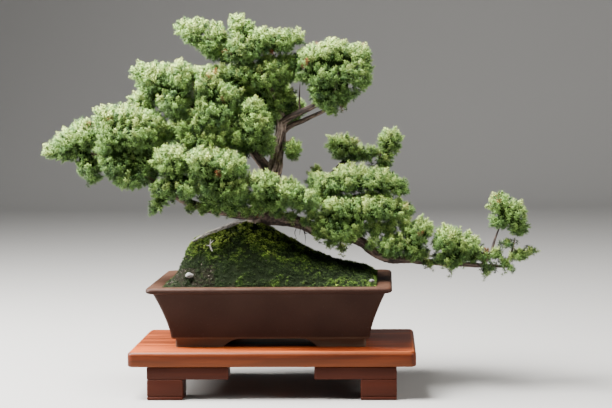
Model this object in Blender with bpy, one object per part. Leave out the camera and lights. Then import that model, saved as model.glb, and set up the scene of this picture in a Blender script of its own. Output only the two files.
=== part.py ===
"""A juniper bonsai in an unglazed clay pot, on a wooden display stand.

Metres, +Z up, and the front of the object is -Y.  The pieces are modelled round
the middle of the stand, and the last step moves the whole object so that the
origin is at the middle of its bounding box, on the surface that it stands on.
"""

import math

import bmesh
import bpy
from mathutils import Vector

GAP = 0.0003  # hairline between pieces that touch

# Display stand
BOARD_SIZE = (0.430, 0.240, 0.023)
STAND_HEIGHT = 0.073
LEG_OUTER_X = 0.186
LEG_FRONT_Y = 0.116
UPPER_BLOCK = (0.122, 0.034)
FOOT_BLOCK = (0.0535, 0.046)
BASE_PAD_HEIGHT = 0.0052
FOOT_NECK_HEIGHT = 0.0033
FOOT_TOP_Z = 0.0308

# Pot
POT_CENTRE = (-0.004, 0.018)
POT_RIM_HALF = (0.1845, 0.130)
POT_HEIGHT = 0.0937
RIM_HEIGHT = 0.0095
RIM_WIDTH = 0.024
FOOT_HEIGHT = 0.0135
FOOT_INSET = 0.0400
BODY_INSET = 0.0340
NECK_INSET = 0.0100
FLARE_POWER = 1.4
WALL = 0.0095
MOSS_SEAT = POT_HEIGHT - 0.016
FOOT_GAP_HALF = (0.0605, 0.0400)
DRAIN_RADIUS = 0.0095
DRAIN_X = 0.070
SCREEN_SIZE = 0.034
CLIP_WIRE_RADIUS = 0.0008

# Ground
MOSS_THICKNESS = 0.006
GROUND_COLUMNS = 22
GROUND_ROWS = 12

# Foliage
PAD_GAP = 0.0030
PAD_STEP = 0.0010

POT_BASE_Z = STAND_HEIGHT + GAP
RIM_Z = POT_BASE_Z + POT_HEIGHT
POT_FLOOR_Z = POT_BASE_Z + FOOT_HEIGHT + 0.008


# ---------------------------------------------------------------- scene helpers


def clear_scene():
    for obj in list(bpy.data.objects):
        bpy.data.objects.remove(obj)


def new_material(name, colour, roughness, metallic=0.0):
    material = bpy.data.materials.new(name)
    material.use_nodes = True
    shader = material.node_tree.nodes["Principled BSDF"]
    shader.inputs["Base Color"].default_value = (*colour, 1.0)
    shader.inputs["Roughness"].default_value = roughness
    shader.inputs["Metallic"].default_value = metallic
    material.diffuse_color = (*colour, 1.0)
    return material


def add_object(name, mesh, material):
    obj = bpy.data.objects.new(name, mesh)
    bpy.context.scene.collection.objects.link(obj)
    if material is not None:
        mesh.materials.clear()
        mesh.materials.append(material)
    return obj


def mesh_from(name, shape):
    """The mesh of a bmesh, with its doubles merged and its faces turned outwards."""
    bmesh.ops.remove_doubles(shape, verts=shape.verts, dist=1e-6)
    bmesh.ops.recalc_face_normals(shape, faces=shape.faces)
    mesh = bpy.data.meshes.new(name)
    shape.to_mesh(mesh)
    shape.free()
    return mesh


def as_cutter(obj):
    obj.hide_render = True
    obj.display_type = "WIRE"
    return obj


def cut(obj, cutter):
    modifier = obj.modifiers.new("cut_" + cutter.name, "BOOLEAN")
    modifier.operation = "DIFFERENCE"
    modifier.solver = "EXACT"
    modifier.object = cutter


def join(obj, other):
    modifier = obj.modifiers.new("join_" + other.name, "BOOLEAN")
    modifier.operation = "UNION"
    modifier.solver = "EXACT"
    modifier.object = other


def loft(shape, rings):
    """Bridges rings of equal length, each a list of points, and caps both ends."""
    loops = [[shape.verts.new(point) for point in ring] for ring in rings]
    for low, high in zip(loops, loops[1:]):
        for i in range(len(low)):
            j = (i + 1) % len(low)
            shape.faces.new((low[i], low[j], high[j], high[i]))
    shape.faces.new(reversed(loops[0]))
    shape.faces.new(loops[-1])


def rounded_rectangle(half_x, half_y, radius, z, steps):
    """Points round a rectangle with rounded corners, centred on the Z axis."""
    points = []
    for corner, (sx, sy) in enumerate(((1, 1), (-1, 1), (-1, -1), (1, -1))):
        for step in range(steps + 1):
            angle = math.radians(90 * corner + 90 * step / steps)
            x = sx * (half_x - radius) + radius * math.cos(angle)
            y = sy * (half_y - radius) + radius * math.sin(angle)
            points.append(Vector((x, y, z)))
    return points


# ---------------------------------------------------------------- display stand


def rounded_block(name, size, bottom_centre, edges, material, steps=1):
    """A block whose upright, top and bottom edges are rounded by the three radii in edges."""
    half_x, half_y, height = size[0] / 2, size[1] / 2, size[2]
    corner, top_edge, bottom_edge = edges
    quarter = [math.radians(90 * step / steps) for step in range(steps + 1)]
    rings = [(bottom_edge * (1 - math.sin(a)), bottom_edge * (1 - math.cos(a))) for a in quarter]
    rings += [(top_edge * (1 - math.cos(a)), height - top_edge * (1 - math.sin(a))) for a in quarter]
    shape = bmesh.new()
    loft(
        shape,
        [
            rounded_rectangle(half_x - inset, half_y - inset, corner, z, steps)
            for inset, z in rings
        ],
    )
    obj = add_object(name, mesh_from(name, shape), material)
    obj.location = bottom_centre
    return obj


def foot_block(name, centre, bottom_z, top_z, material):
    """A foot block whose lowest few millimetres are a recessed neck."""
    half_x, half_y = FOOT_BLOCK[0] / 2, FOOT_BLOCK[1] / 2
    neck, ease = 0.0025, 0.0010
    height = top_z - bottom_z
    sections = (
        (neck, 0.0),
        (neck, FOOT_NECK_HEIGHT),
        (ease, FOOT_NECK_HEIGHT),
        (0.0, FOOT_NECK_HEIGHT + ease),
        (0.0, height - ease),
        (ease, height),
    )
    shape = bmesh.new()
    loft(
        shape,
        [
            rounded_rectangle(half_x - inset, half_y - inset, 0.0012, z, steps=1)
            for inset, z in sections
        ],
    )
    obj = add_object(name, mesh_from(name, shape), material)
    obj.location = (*centre, bottom_z)
    return obj


def build_stand():
    top_wood = new_material("stand_top_wood", (0.42, 0.15, 0.06), 0.38)
    leg_wood = new_material("stand_leg_wood", (0.20, 0.05, 0.03), 0.45)
    board_z = STAND_HEIGHT - BOARD_SIZE[2]
    board_edges = (0.009, 0.006, 0.003)
    pieces = [
        rounded_block("stand_top_board", BOARD_SIZE, (0, 0, board_z), board_edges, top_wood, steps=4)
    ]
    for side, sx in (("left", -1), ("right", 1)):
        for end, sy in (("front", -1), ("back", 1)):
            corner = f"{end}_{side}"
            upper_z = FOOT_TOP_Z + GAP
            upper_size = (*UPPER_BLOCK, board_z - GAP - upper_z)
            upper_x = sx * (LEG_OUTER_X - UPPER_BLOCK[0] / 2)
            upper_y = sy * (LEG_FRONT_Y - UPPER_BLOCK[1] / 2)
            foot_x = sx * (LEG_OUTER_X - FOOT_BLOCK[0] / 2)
            foot_y = sy * (LEG_FRONT_Y - FOOT_BLOCK[1] / 2)
            pieces.append(
                rounded_block(
                    "stand_upper_block_" + corner, upper_size, (upper_x, upper_y, upper_z),
                    (0.0014, 0.0008, 0.0014), leg_wood,
                )
            )
            pieces.append(
                foot_block(
                    "stand_foot_block_" + corner, (foot_x, foot_y),
                    BASE_PAD_HEIGHT + GAP, FOOT_TOP_Z, leg_wood,
                )
            )
            pieces.append(
                rounded_block(
                    "stand_base_pad_" + corner, (*FOOT_BLOCK, BASE_PAD_HEIGHT),
                    (foot_x, foot_y, 0), (0.0012, 0.0012, 0.0006), leg_wood,
                )
            )
    return pieces


# ---------------------------------------------------------------- pot


def wall_inset(z):
    """How far the pot's outer wall is inside the rim's edge at a height above its base."""
    low, high = FOOT_HEIGHT, POT_HEIGHT - RIM_HEIGHT
    share = min(max((z - low) / (high - low), 0.0), 1.0)
    return BODY_INSET + (NECK_INSET - BODY_INSET) * share**FLARE_POWER


def pot_section(inset, z, corner):
    half_x, half_y = POT_RIM_HALF[0] - inset, POT_RIM_HALF[1] - inset
    return rounded_rectangle(half_x, half_y, corner, z, steps=3)


def bracket_foot_gap(name, half_width, length, along_x):
    """The space between two bracket feet: a shallow opening whose ends sweep up in an S."""
    height = FOOT_HEIGHT - 0.0012
    outline = [(-half_width - 0.012, -0.004)]
    for step in range(7):
        share = step / 6
        rise = height * math.sin(math.radians(90 * share)) ** 0.8
        outline.append((-half_width - 0.010 + 0.022 * share**1.6, rise))
    outline += [(-x, z) for x, z in reversed(outline)]
    shape = bmesh.new()
    rings = []
    for side in (-1, 1):
        offset = side * length / 2
        ring = [Vector((offset, x, z) if along_x else (x, offset, z)) for x, z in outline]
        rings.append(ring)
    loft(shape, rings)
    return as_cutter(add_object(name, mesh_from(name, shape), None))


def build_pot():
    clay = new_material("pot_clay", (0.085, 0.045, 0.033), 0.72)
    rings = [pot_section(FOOT_INSET, 0.0, 0.004), pot_section(FOOT_INSET, FOOT_HEIGHT - 0.0006, 0.004)]
    rings.append(pot_section(BODY_INSET, FOOT_HEIGHT, 0.005))
    flare_steps = 6
    body_height = POT_HEIGHT - RIM_HEIGHT - FOOT_HEIGHT
    for step in range(1, flare_steps + 1):
        z = FOOT_HEIGHT + body_height * step / flare_steps
        rings.append(pot_section(wall_inset(z), z, 0.005 + 0.003 * step / flare_steps))
    lip_edge = 0.0032
    for step in range(4):
        angle = math.radians(180 * step / 3 - 90)
        inset = lip_edge * (1 - math.cos(angle))
        z = POT_HEIGHT - RIM_HEIGHT / 2 + (RIM_HEIGHT / 2) * math.sin(angle)
        rings.append(pot_section(inset, z, 0.011))
    rings.append(pot_section(RIM_WIDTH - 0.0015, POT_HEIGHT, 0.010))
    rings.append(pot_section(RIM_WIDTH, POT_HEIGHT - 0.0015, 0.010))
    rings.append(pot_section(RIM_WIDTH, MOSS_SEAT, 0.010))
    floor = POT_FLOOR_Z - POT_BASE_Z
    for share in (0.75, 0.5, 0.2, 0.0):
        z = floor + (MOSS_SEAT - floor) * share
        rings.append(pot_section(max(wall_inset(z) + WALL, RIM_WIDTH), z, 0.009))
    shape = bmesh.new()
    loft(shape, rings)
    pot = add_object("pot", mesh_from("pot", shape), clay)
    pot.location = (*POT_CENTRE, POT_BASE_Z)

    cutters = [
        bracket_foot_gap("foot_gap_front_back", FOOT_GAP_HALF[0], 0.4, along_x=False),
        bracket_foot_gap("foot_gap_sides", FOOT_GAP_HALF[1], 0.5, along_x=True),
    ]
    recess = bmesh.new()
    recess_inset = FOOT_INSET + 0.013
    loft(
        recess,
        [pot_section(recess_inset, -0.004, 0.006), pot_section(recess_inset, FOOT_HEIGHT - 0.001, 0.006)],
    )
    cutters.append(as_cutter(add_object("foot_recess", mesh_from("foot_recess", recess), None)))
    for name, sx in (("left", -1), ("right", 1)):
        hole = bmesh.new()
        bmesh.ops.create_cone(
            hole, cap_ends=True, segments=20, radius1=DRAIN_RADIUS, radius2=DRAIN_RADIUS, depth=0.05
        )
        cutter = as_cutter(add_object("drain_" + name, mesh_from("drain_" + name, hole), None))
        cutter.location.x = sx * DRAIN_X
        cutter.location.z = FOOT_HEIGHT
        cutters.append(cutter)
    for cutter in cutters:
        cutter.location += pot.location
        cut(pot, cutter)
    return [pot] + cutters


def build_drainage():
    """A square of mesh over each drainage hole, held by a bent wire."""
    plastic = new_material("screen_plastic", (0.02, 0.05, 0.03), 0.6)
    metal = new_material("clip_wire", (0.55, 0.30, 0.18), 0.4, 1.0)
    screen_z = POT_FLOOR_Z + GAP
    thickness = 0.0012
    pieces = []
    for side, sx in (("left", -1), ("right", 1)):
        centre_x = POT_CENTRE[0] + sx * DRAIN_X
        name = "drainage_screen_" + side
        pieces.append(
            rounded_block(
                name, (SCREEN_SIZE, SCREEN_SIZE, thickness), (centre_x, POT_CENTRE[1], screen_z),
                (0.0015, 0.0002, 0.0002), plastic,
            )
        )
        wire_z = screen_z + thickness + GAP + CLIP_WIRE_RADIUS
        reach = SCREEN_SIZE * 0.42
        route = [
            (centre_x - reach, POT_CENTRE[1] - 0.006, wire_z),
            (centre_x - reach * 0.5, POT_CENTRE[1] + 0.004, wire_z),
            (centre_x, POT_CENTRE[1], wire_z),
            (centre_x + reach * 0.5, POT_CENTRE[1] - 0.004, wire_z),
            (centre_x + reach, POT_CENTRE[1] + 0.006, wire_z),
        ]
        wire = [(*point, CLIP_WIRE_RADIUS) for point in route]
        pieces.append(limb("screen_clip_" + side, wire, metal, sides=6, steps=3))
    return pieces


# ---------------------------------------------------------------- soil and moss

# The crest of the mound from left to right: x, and its height above the rim.
CREST = (
    (-0.162, 0.000), (-0.148, 0.010), (-0.143, 0.034), (-0.130, 0.062), (-0.110, 0.071),
    (-0.080, 0.080), (-0.055, 0.089), (-0.030, 0.092), (-0.010, 0.083), (0.012, 0.068),
    (0.030, 0.060), (0.055, 0.044), (0.080, 0.034), (0.110, 0.026), (0.140, 0.019), (0.162, 0.004),
)
CREST_Y = 0.012


def crest_height(x):
    for (x0, h0), (x1, h1) in zip(CREST, CREST[1:]):
        if x <= x1:
            share = min(max((x - x0) / (x1 - x0), 0.0), 1.0)
            return h0 + (h1 - h0) * share
    return CREST[-1][1]


def mound_height(x, y):
    """Height of the moss above the pot's rim."""
    half_depth = POT_RIM_HALF[1] - RIM_WIDTH
    back_shift = POT_CENTRE[1] - CREST_Y
    across = (y - CREST_Y) / (half_depth + (back_shift if y > CREST_Y else -back_shift))
    dome = max(1.0 - across * across, 0.0)
    smooth_crest = sum(crest_height(x + dx) for dx in (-0.006, 0.0, 0.006)) / 3
    return smooth_crest * dome


def ground_grid(inset):
    """Grid points over the pot's opening, with the corners pulled in to its rounding."""
    half_x, half_y = POT_RIM_HALF[0] - inset, POT_RIM_HALF[1] - inset
    grid = []
    for row in range(GROUND_ROWS + 1):
        v = 2 * row / GROUND_ROWS - 1
        line = []
        for column in range(GROUND_COLUMNS + 1):
            u = 2 * column / GROUND_COLUMNS - 1
            pull = 1 - 0.022 * abs(u) ** 12 * abs(v) ** 12
            line.append((POT_CENTRE[0] + u * half_x * pull, POT_CENTRE[1] + v * half_y * pull))
        grid.append(line)
    return grid


def grid_border(grid):
    last = len(grid) - 1
    border = [(0, c) for c in range(len(grid[0]) - 1)]
    border += [(r, len(grid[0]) - 1) for r in range(last)]
    border += [(last, c) for c in range(len(grid[0]) - 1, 0, -1)]
    return border + [(r, 0) for r in range(last, 0, -1)]


def add_sheet(shape, grid, height):
    rows = [[shape.verts.new((x, y, height(x, y))) for x, y in line] for line in grid]
    for low, high in zip(rows, rows[1:]):
        for i in range(len(low) - 1):
            shape.faces.new((low[i], low[i + 1], high[i + 1], high[i]))
    return rows


def moss_top(x, y):
    return RIM_Z - 0.0015 + mound_height(x, y)


def slope_thickness(x, y):
    """The moss measured straight down: more on a slope, so that it stays as thick across."""
    step = 0.004
    slope_x = (mound_height(x + step, y) - mound_height(x - step, y)) / (2 * step)
    slope_y = (mound_height(x, y + step) - mound_height(x, y - step)) / (2 * step)
    return MOSS_THICKNESS * min(math.sqrt(1 + slope_x**2 + slope_y**2), 1.7)


def build_ground(trunk_clearance):
    moss_green = new_material("moss", (0.10, 0.22, 0.02), 0.95)
    soil_brown = new_material("soil", (0.035, 0.022, 0.015), 0.95)

    grid = ground_grid(RIM_WIDTH + 0.0006)
    border = grid_border(grid)
    shape = bmesh.new()
    top = add_sheet(shape, grid, moss_top)
    under = add_sheet(shape, grid, lambda x, y: moss_top(x, y) - slope_thickness(x, y))
    for (r0, c0), (r1, c1) in zip(border, border[1:] + border[:1]):
        shape.faces.new((top[r0][c0], under[r0][c0], under[r1][c1], top[r1][c1]))
    moss = add_object("moss", mesh_from("moss", shape), moss_green)

    shape = bmesh.new()
    top = add_sheet(
        shape, grid, lambda x, y: moss_top(x, y) - slope_thickness(x, y) - 2 * GAP
    )
    ring = [top[r][c] for r, c in border]
    soil_base = POT_FLOOR_Z + 0.004
    for z in (POT_BASE_Z + MOSS_SEAT, 0.128, 0.110, soil_base):
        inset = max(wall_inset(z - POT_BASE_Z) + WALL, RIM_WIDTH) + 0.0012
        scale_x = (POT_RIM_HALF[0] - inset) / (POT_RIM_HALF[0] - RIM_WIDTH - 0.0006)
        scale_y = (POT_RIM_HALF[1] - inset) / (POT_RIM_HALF[1] - RIM_WIDTH - 0.0006)
        lower = []
        for r, c in border:
            x, y = grid[r][c]
            x = POT_CENTRE[0] + (x - POT_CENTRE[0]) * scale_x
            y = POT_CENTRE[1] + (y - POT_CENTRE[1]) * scale_y
            lower.append(shape.verts.new((x, y, z)))
        for i in range(len(ring)):
            j = (i + 1) % len(ring)
            shape.faces.new((ring[i], lower[i], lower[j], ring[j]))
        ring = lower
    shape.faces.new(ring)
    soil = add_object("soil", mesh_from("soil", shape), soil_brown)
    for layer in (moss, soil):
        cut(layer, trunk_clearance)
    return [moss, soil]


def pebble(name, centre, size, material):
    shape = bmesh.new()
    bmesh.ops.create_icosphere(shape, subdivisions=2, radius=1.0)
    for vertex in shape.verts:
        dent = 1 - 0.12 * math.sin(3.1 * vertex.co.x + 1.7 * vertex.co.z)
        vertex.co = Vector([c * s / 2 * dent for c, s in zip(vertex.co, size)])
    obj = add_object(name, mesh_from(name, shape), material)
    obj.location = centre
    return obj


def build_litter():
    """What lies loose on the moss: two pebbles, a dead root and a dead twig."""
    stone = new_material("pebble_stone", (0.42, 0.41, 0.40), 0.7)
    silver_wood = new_material("silver_deadwood", (0.50, 0.47, 0.46), 0.75)
    pieces = []
    for name, x, size in (
        ("pebble_left", -0.124, (0.013, 0.009, 0.008)),
        ("pebble_right", 0.150, (0.008, 0.006, 0.005)),
    ):
        y = POT_CENTRE[1] - POT_RIM_HALF[1] + RIM_WIDTH + 0.008
        pieces.append(pebble(name, (x, y, moss_top(x, y) + size[2] / 2 + 0.0042), size, stone))
    route = []
    for x, y, radius in ((-0.126, -0.012, 0.0018), (-0.110, -0.010, 0.0026), (-0.090, -0.006, 0.0032),
                         (-0.072, -0.003, 0.0036), (-0.056, 0.000, 0.0036), (-0.044, 0.003, 0.0032)):
        route.append((x, y, moss_top(x, y) + radius + 0.0016, radius))
    pieces.append(limb("surface_root", route, silver_wood, sides=8, steps=3))

    base = Vector((-0.093, -0.048, moss_top(-0.093, -0.048) + 0.0035))
    stem = [(*base, 0.0013), (*(base + Vector((-0.002, -0.006, 0.008))), 0.0012),
            (*(base + Vector((-0.001, -0.009, 0.018))), 0.0007)]
    spur = [(*(base + Vector((-0.002, -0.006, 0.008))), 0.0010),
            (*(base + Vector((-0.008, -0.011, 0.009))), 0.0006)]
    twig = limb("dead_twig", stem, silver_wood, sides=6, steps=3)
    spur_piece = as_cutter(limb("dead_twig_spur", spur, silver_wood, sides=6, steps=3))
    join(twig, spur_piece)
    return pieces + [twig, spur_piece]


# ---------------------------------------------------------------- trunk and branches


def limb_mesh(name, route, sides, steps, extra=0.0):
    """The closed mesh of a round limb through (x, y, z, radius) points."""
    curve = bpy.data.curves.new(name, "CURVE")
    curve.dimensions = "3D"
    curve.bevel_depth = 1.0
    curve.bevel_resolution = sides // 2 - 2
    curve.use_fill_caps = True
    curve.resolution_u = steps
    spline = curve.splines.new("BEZIER")
    spline.bezier_points.add(len(route) - 1)
    for point, (x, y, z, radius) in zip(spline.bezier_points, route):
        point.co = (x, y, z)
        point.radius = radius + extra
        point.handle_left_type = "AUTO"
        point.handle_right_type = "AUTO"
    guide = bpy.data.objects.new(name + "_guide", curve)
    bpy.context.scene.collection.objects.link(guide)
    bpy.context.view_layer.update()
    graph = bpy.context.evaluated_depsgraph_get()
    tube = bpy.data.meshes.new_from_object(guide.evaluated_get(graph))
    bpy.data.objects.remove(guide)
    shape = bmesh.new()
    shape.from_mesh(tube)
    bpy.data.meshes.remove(tube)
    return mesh_from(name, shape)


def limb(name, route, material, sides, steps):
    return add_object(name, limb_mesh(name, route, sides, steps), material)


def clearance(name, route, sides, steps):
    """A cutter the shape of a limb, thicker by the hairline that neighbours keep to it."""
    mesh = limb_mesh(name + "_clearance", route, sides, steps, extra=2 * GAP)
    return as_cutter(add_object(name + "_clearance", mesh, None))


TRUNK = (
    (-0.030, 0.018, 0.236, 0.0250), (-0.027, 0.018, 0.256, 0.0195), (-0.020, 0.018, 0.280, 0.0165),
    (-0.010, 0.018, 0.306, 0.0150), (-0.002, 0.018, 0.333, 0.0125), (0.005, 0.018, 0.367, 0.0095),
    (0.010, 0.018, 0.398, 0.0080), (0.009, 0.018, 0.422, 0.0072), (0.000, 0.018, 0.448, 0.0062),
    (-0.014, 0.018, 0.473, 0.0052), (-0.029, 0.018, 0.495, 0.0042), (-0.045, 0.016, 0.519, 0.0030),
)

# Each branch, from its parent limb outwards.  One that is listed later gives way to earlier ones.
BRANCHES = {
    "branch_right_cascade": (
        (-0.022, 0.012, 0.262, 0.0110), (0.004, 0.000, 0.262, 0.0105), (0.040, -0.014, 0.256, 0.0095),
        (0.071, -0.020, 0.242, 0.0085), (0.103, -0.020, 0.234, 0.0078), (0.130, -0.022, 0.229, 0.0075),
        (0.152, -0.024, 0.213, 0.0070), (0.175, -0.024, 0.201, 0.0062), (0.205, -0.022, 0.199, 0.0052),
        (0.254, -0.020, 0.194, 0.0042), (0.314, -0.020, 0.190, 0.0034), (0.362, -0.020, 0.187, 0.0024),
    ),
    "branch_left_low": (
        (-0.022, 0.010, 0.270, 0.0100), (-0.046, -0.012, 0.270, 0.0085), (-0.074, -0.026, 0.275, 0.0070),
        (-0.112, -0.034, 0.284, 0.0060), (-0.146, -0.038, 0.299, 0.0052), (-0.187, -0.038, 0.325, 0.0042),
        (-0.246, -0.034, 0.356, 0.0032), (-0.306, -0.030, 0.372, 0.0020),
    ),
    "branch_left_fork": (
        (-0.006, 0.018, 0.326, 0.0090), (-0.020, 0.014, 0.349, 0.0078), (-0.038, 0.008, 0.371, 0.0068),
        (-0.074, -0.002, 0.407, 0.0056), (-0.128, -0.012, 0.440, 0.0044), (-0.173, -0.015, 0.463, 0.0028),
    ),
    "branch_right_upper": (
        (0.010, 0.016, 0.410, 0.0062), (0.030, 0.010, 0.421, 0.0050), (0.056, 0.004, 0.432, 0.0044),
        (0.079, 0.000, 0.446, 0.0040), (0.095, -0.002, 0.464, 0.0034), (0.099, -0.002, 0.488, 0.0024),
    ),
    "branch_right_bare": (
        (0.009, 0.018, 0.392, 0.0052), (0.027, 0.024, 0.406, 0.0040), (0.043, 0.026, 0.412, 0.0036),
        (0.060, 0.026, 0.420, 0.0032), (0.076, 0.024, 0.427, 0.0028), (0.098, 0.018, 0.441, 0.0018),
    ),
    "branch_apex": (
        (-0.041, 0.017, 0.512, 0.0036), (-0.062, 0.012, 0.524, 0.0032), (-0.090, 0.008, 0.536, 0.0026),
        (-0.120, 0.005, 0.546, 0.0018),
    ),
    "branch_right_middle": (
        (-0.012, 0.014, 0.298, 0.0070), (0.018, 0.004, 0.288, 0.0060), (0.056, -0.004, 0.288, 0.0052),
        (0.108, -0.006, 0.294, 0.0042), (0.160, -0.006, 0.300, 0.0028),
    ),
    "branch_back_right": (
        (-0.014, 0.024, 0.302, 0.0062), (0.026, 0.050, 0.293, 0.0052), (0.062, 0.070, 0.301, 0.0046),
        (0.092, 0.083, 0.332, 0.0040), (0.112, 0.086, 0.350, 0.0034), (0.140, 0.094, 0.352, 0.0030),
        (0.172, 0.097, 0.364, 0.0020),
    ),
    "branch_back_left": (
        (0.004, 0.022, 0.360, 0.0060), (-0.012, 0.052, 0.374, 0.0050), (-0.050, 0.082, 0.392, 0.0042),
        (-0.100, 0.094, 0.404, 0.0028),
    ),
    "twig_cascade_inner": (
        (0.318, -0.020, 0.191, 0.0026), (0.330, -0.022, 0.208, 0.0022), (0.338, -0.022, 0.232, 0.0018),
        (0.350, -0.020, 0.262, 0.0012),
    ),
    "twig_cascade_outer": (
        (0.350, -0.020, 0.188, 0.0022), (0.361, -0.018, 0.206, 0.0018), (0.368, -0.018, 0.232, 0.0012),
    ),
    "twig_right_upper": (
        (0.040, 0.007, 0.427, 0.0018), (0.0395, 0.006, 0.445, 0.0015), (0.041, 0.004, 0.470, 0.0010),
    ),
}


def boxes_meet(a, b):
    """True if the bounding boxes of two objects at the origin meet."""
    for i in range(3):
        a_side = [corner[i] for corner in a.bound_box]
        b_side = [corner[i] for corner in b.bound_box]
        if min(a_side) > max(b_side) or max(a_side) < min(b_side):
            return False
    return True


def build_wood():
    """The trunk, the branches and the cutters that keep them apart."""
    bark = new_material("bark", (0.16, 0.11, 0.09), 0.9)
    pieces = {"trunk": limb("trunk", TRUNK, bark, sides=10, steps=3)}
    cutters = {"trunk": clearance("trunk", TRUNK, sides=10, steps=3)}
    for name, route in BRANCHES.items():
        sides = 6 if name.startswith("twig") else 8
        pieces[name] = limb(name, route, bark, sides, steps=2)
        for older in cutters.values():
            if boxes_meet(pieces[name], older):
                cut(pieces[name], older)
        cutters[name] = clearance(name, route, sides, steps=2)
    return pieces, cutters


# ---------------------------------------------------------------- foliage

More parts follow.
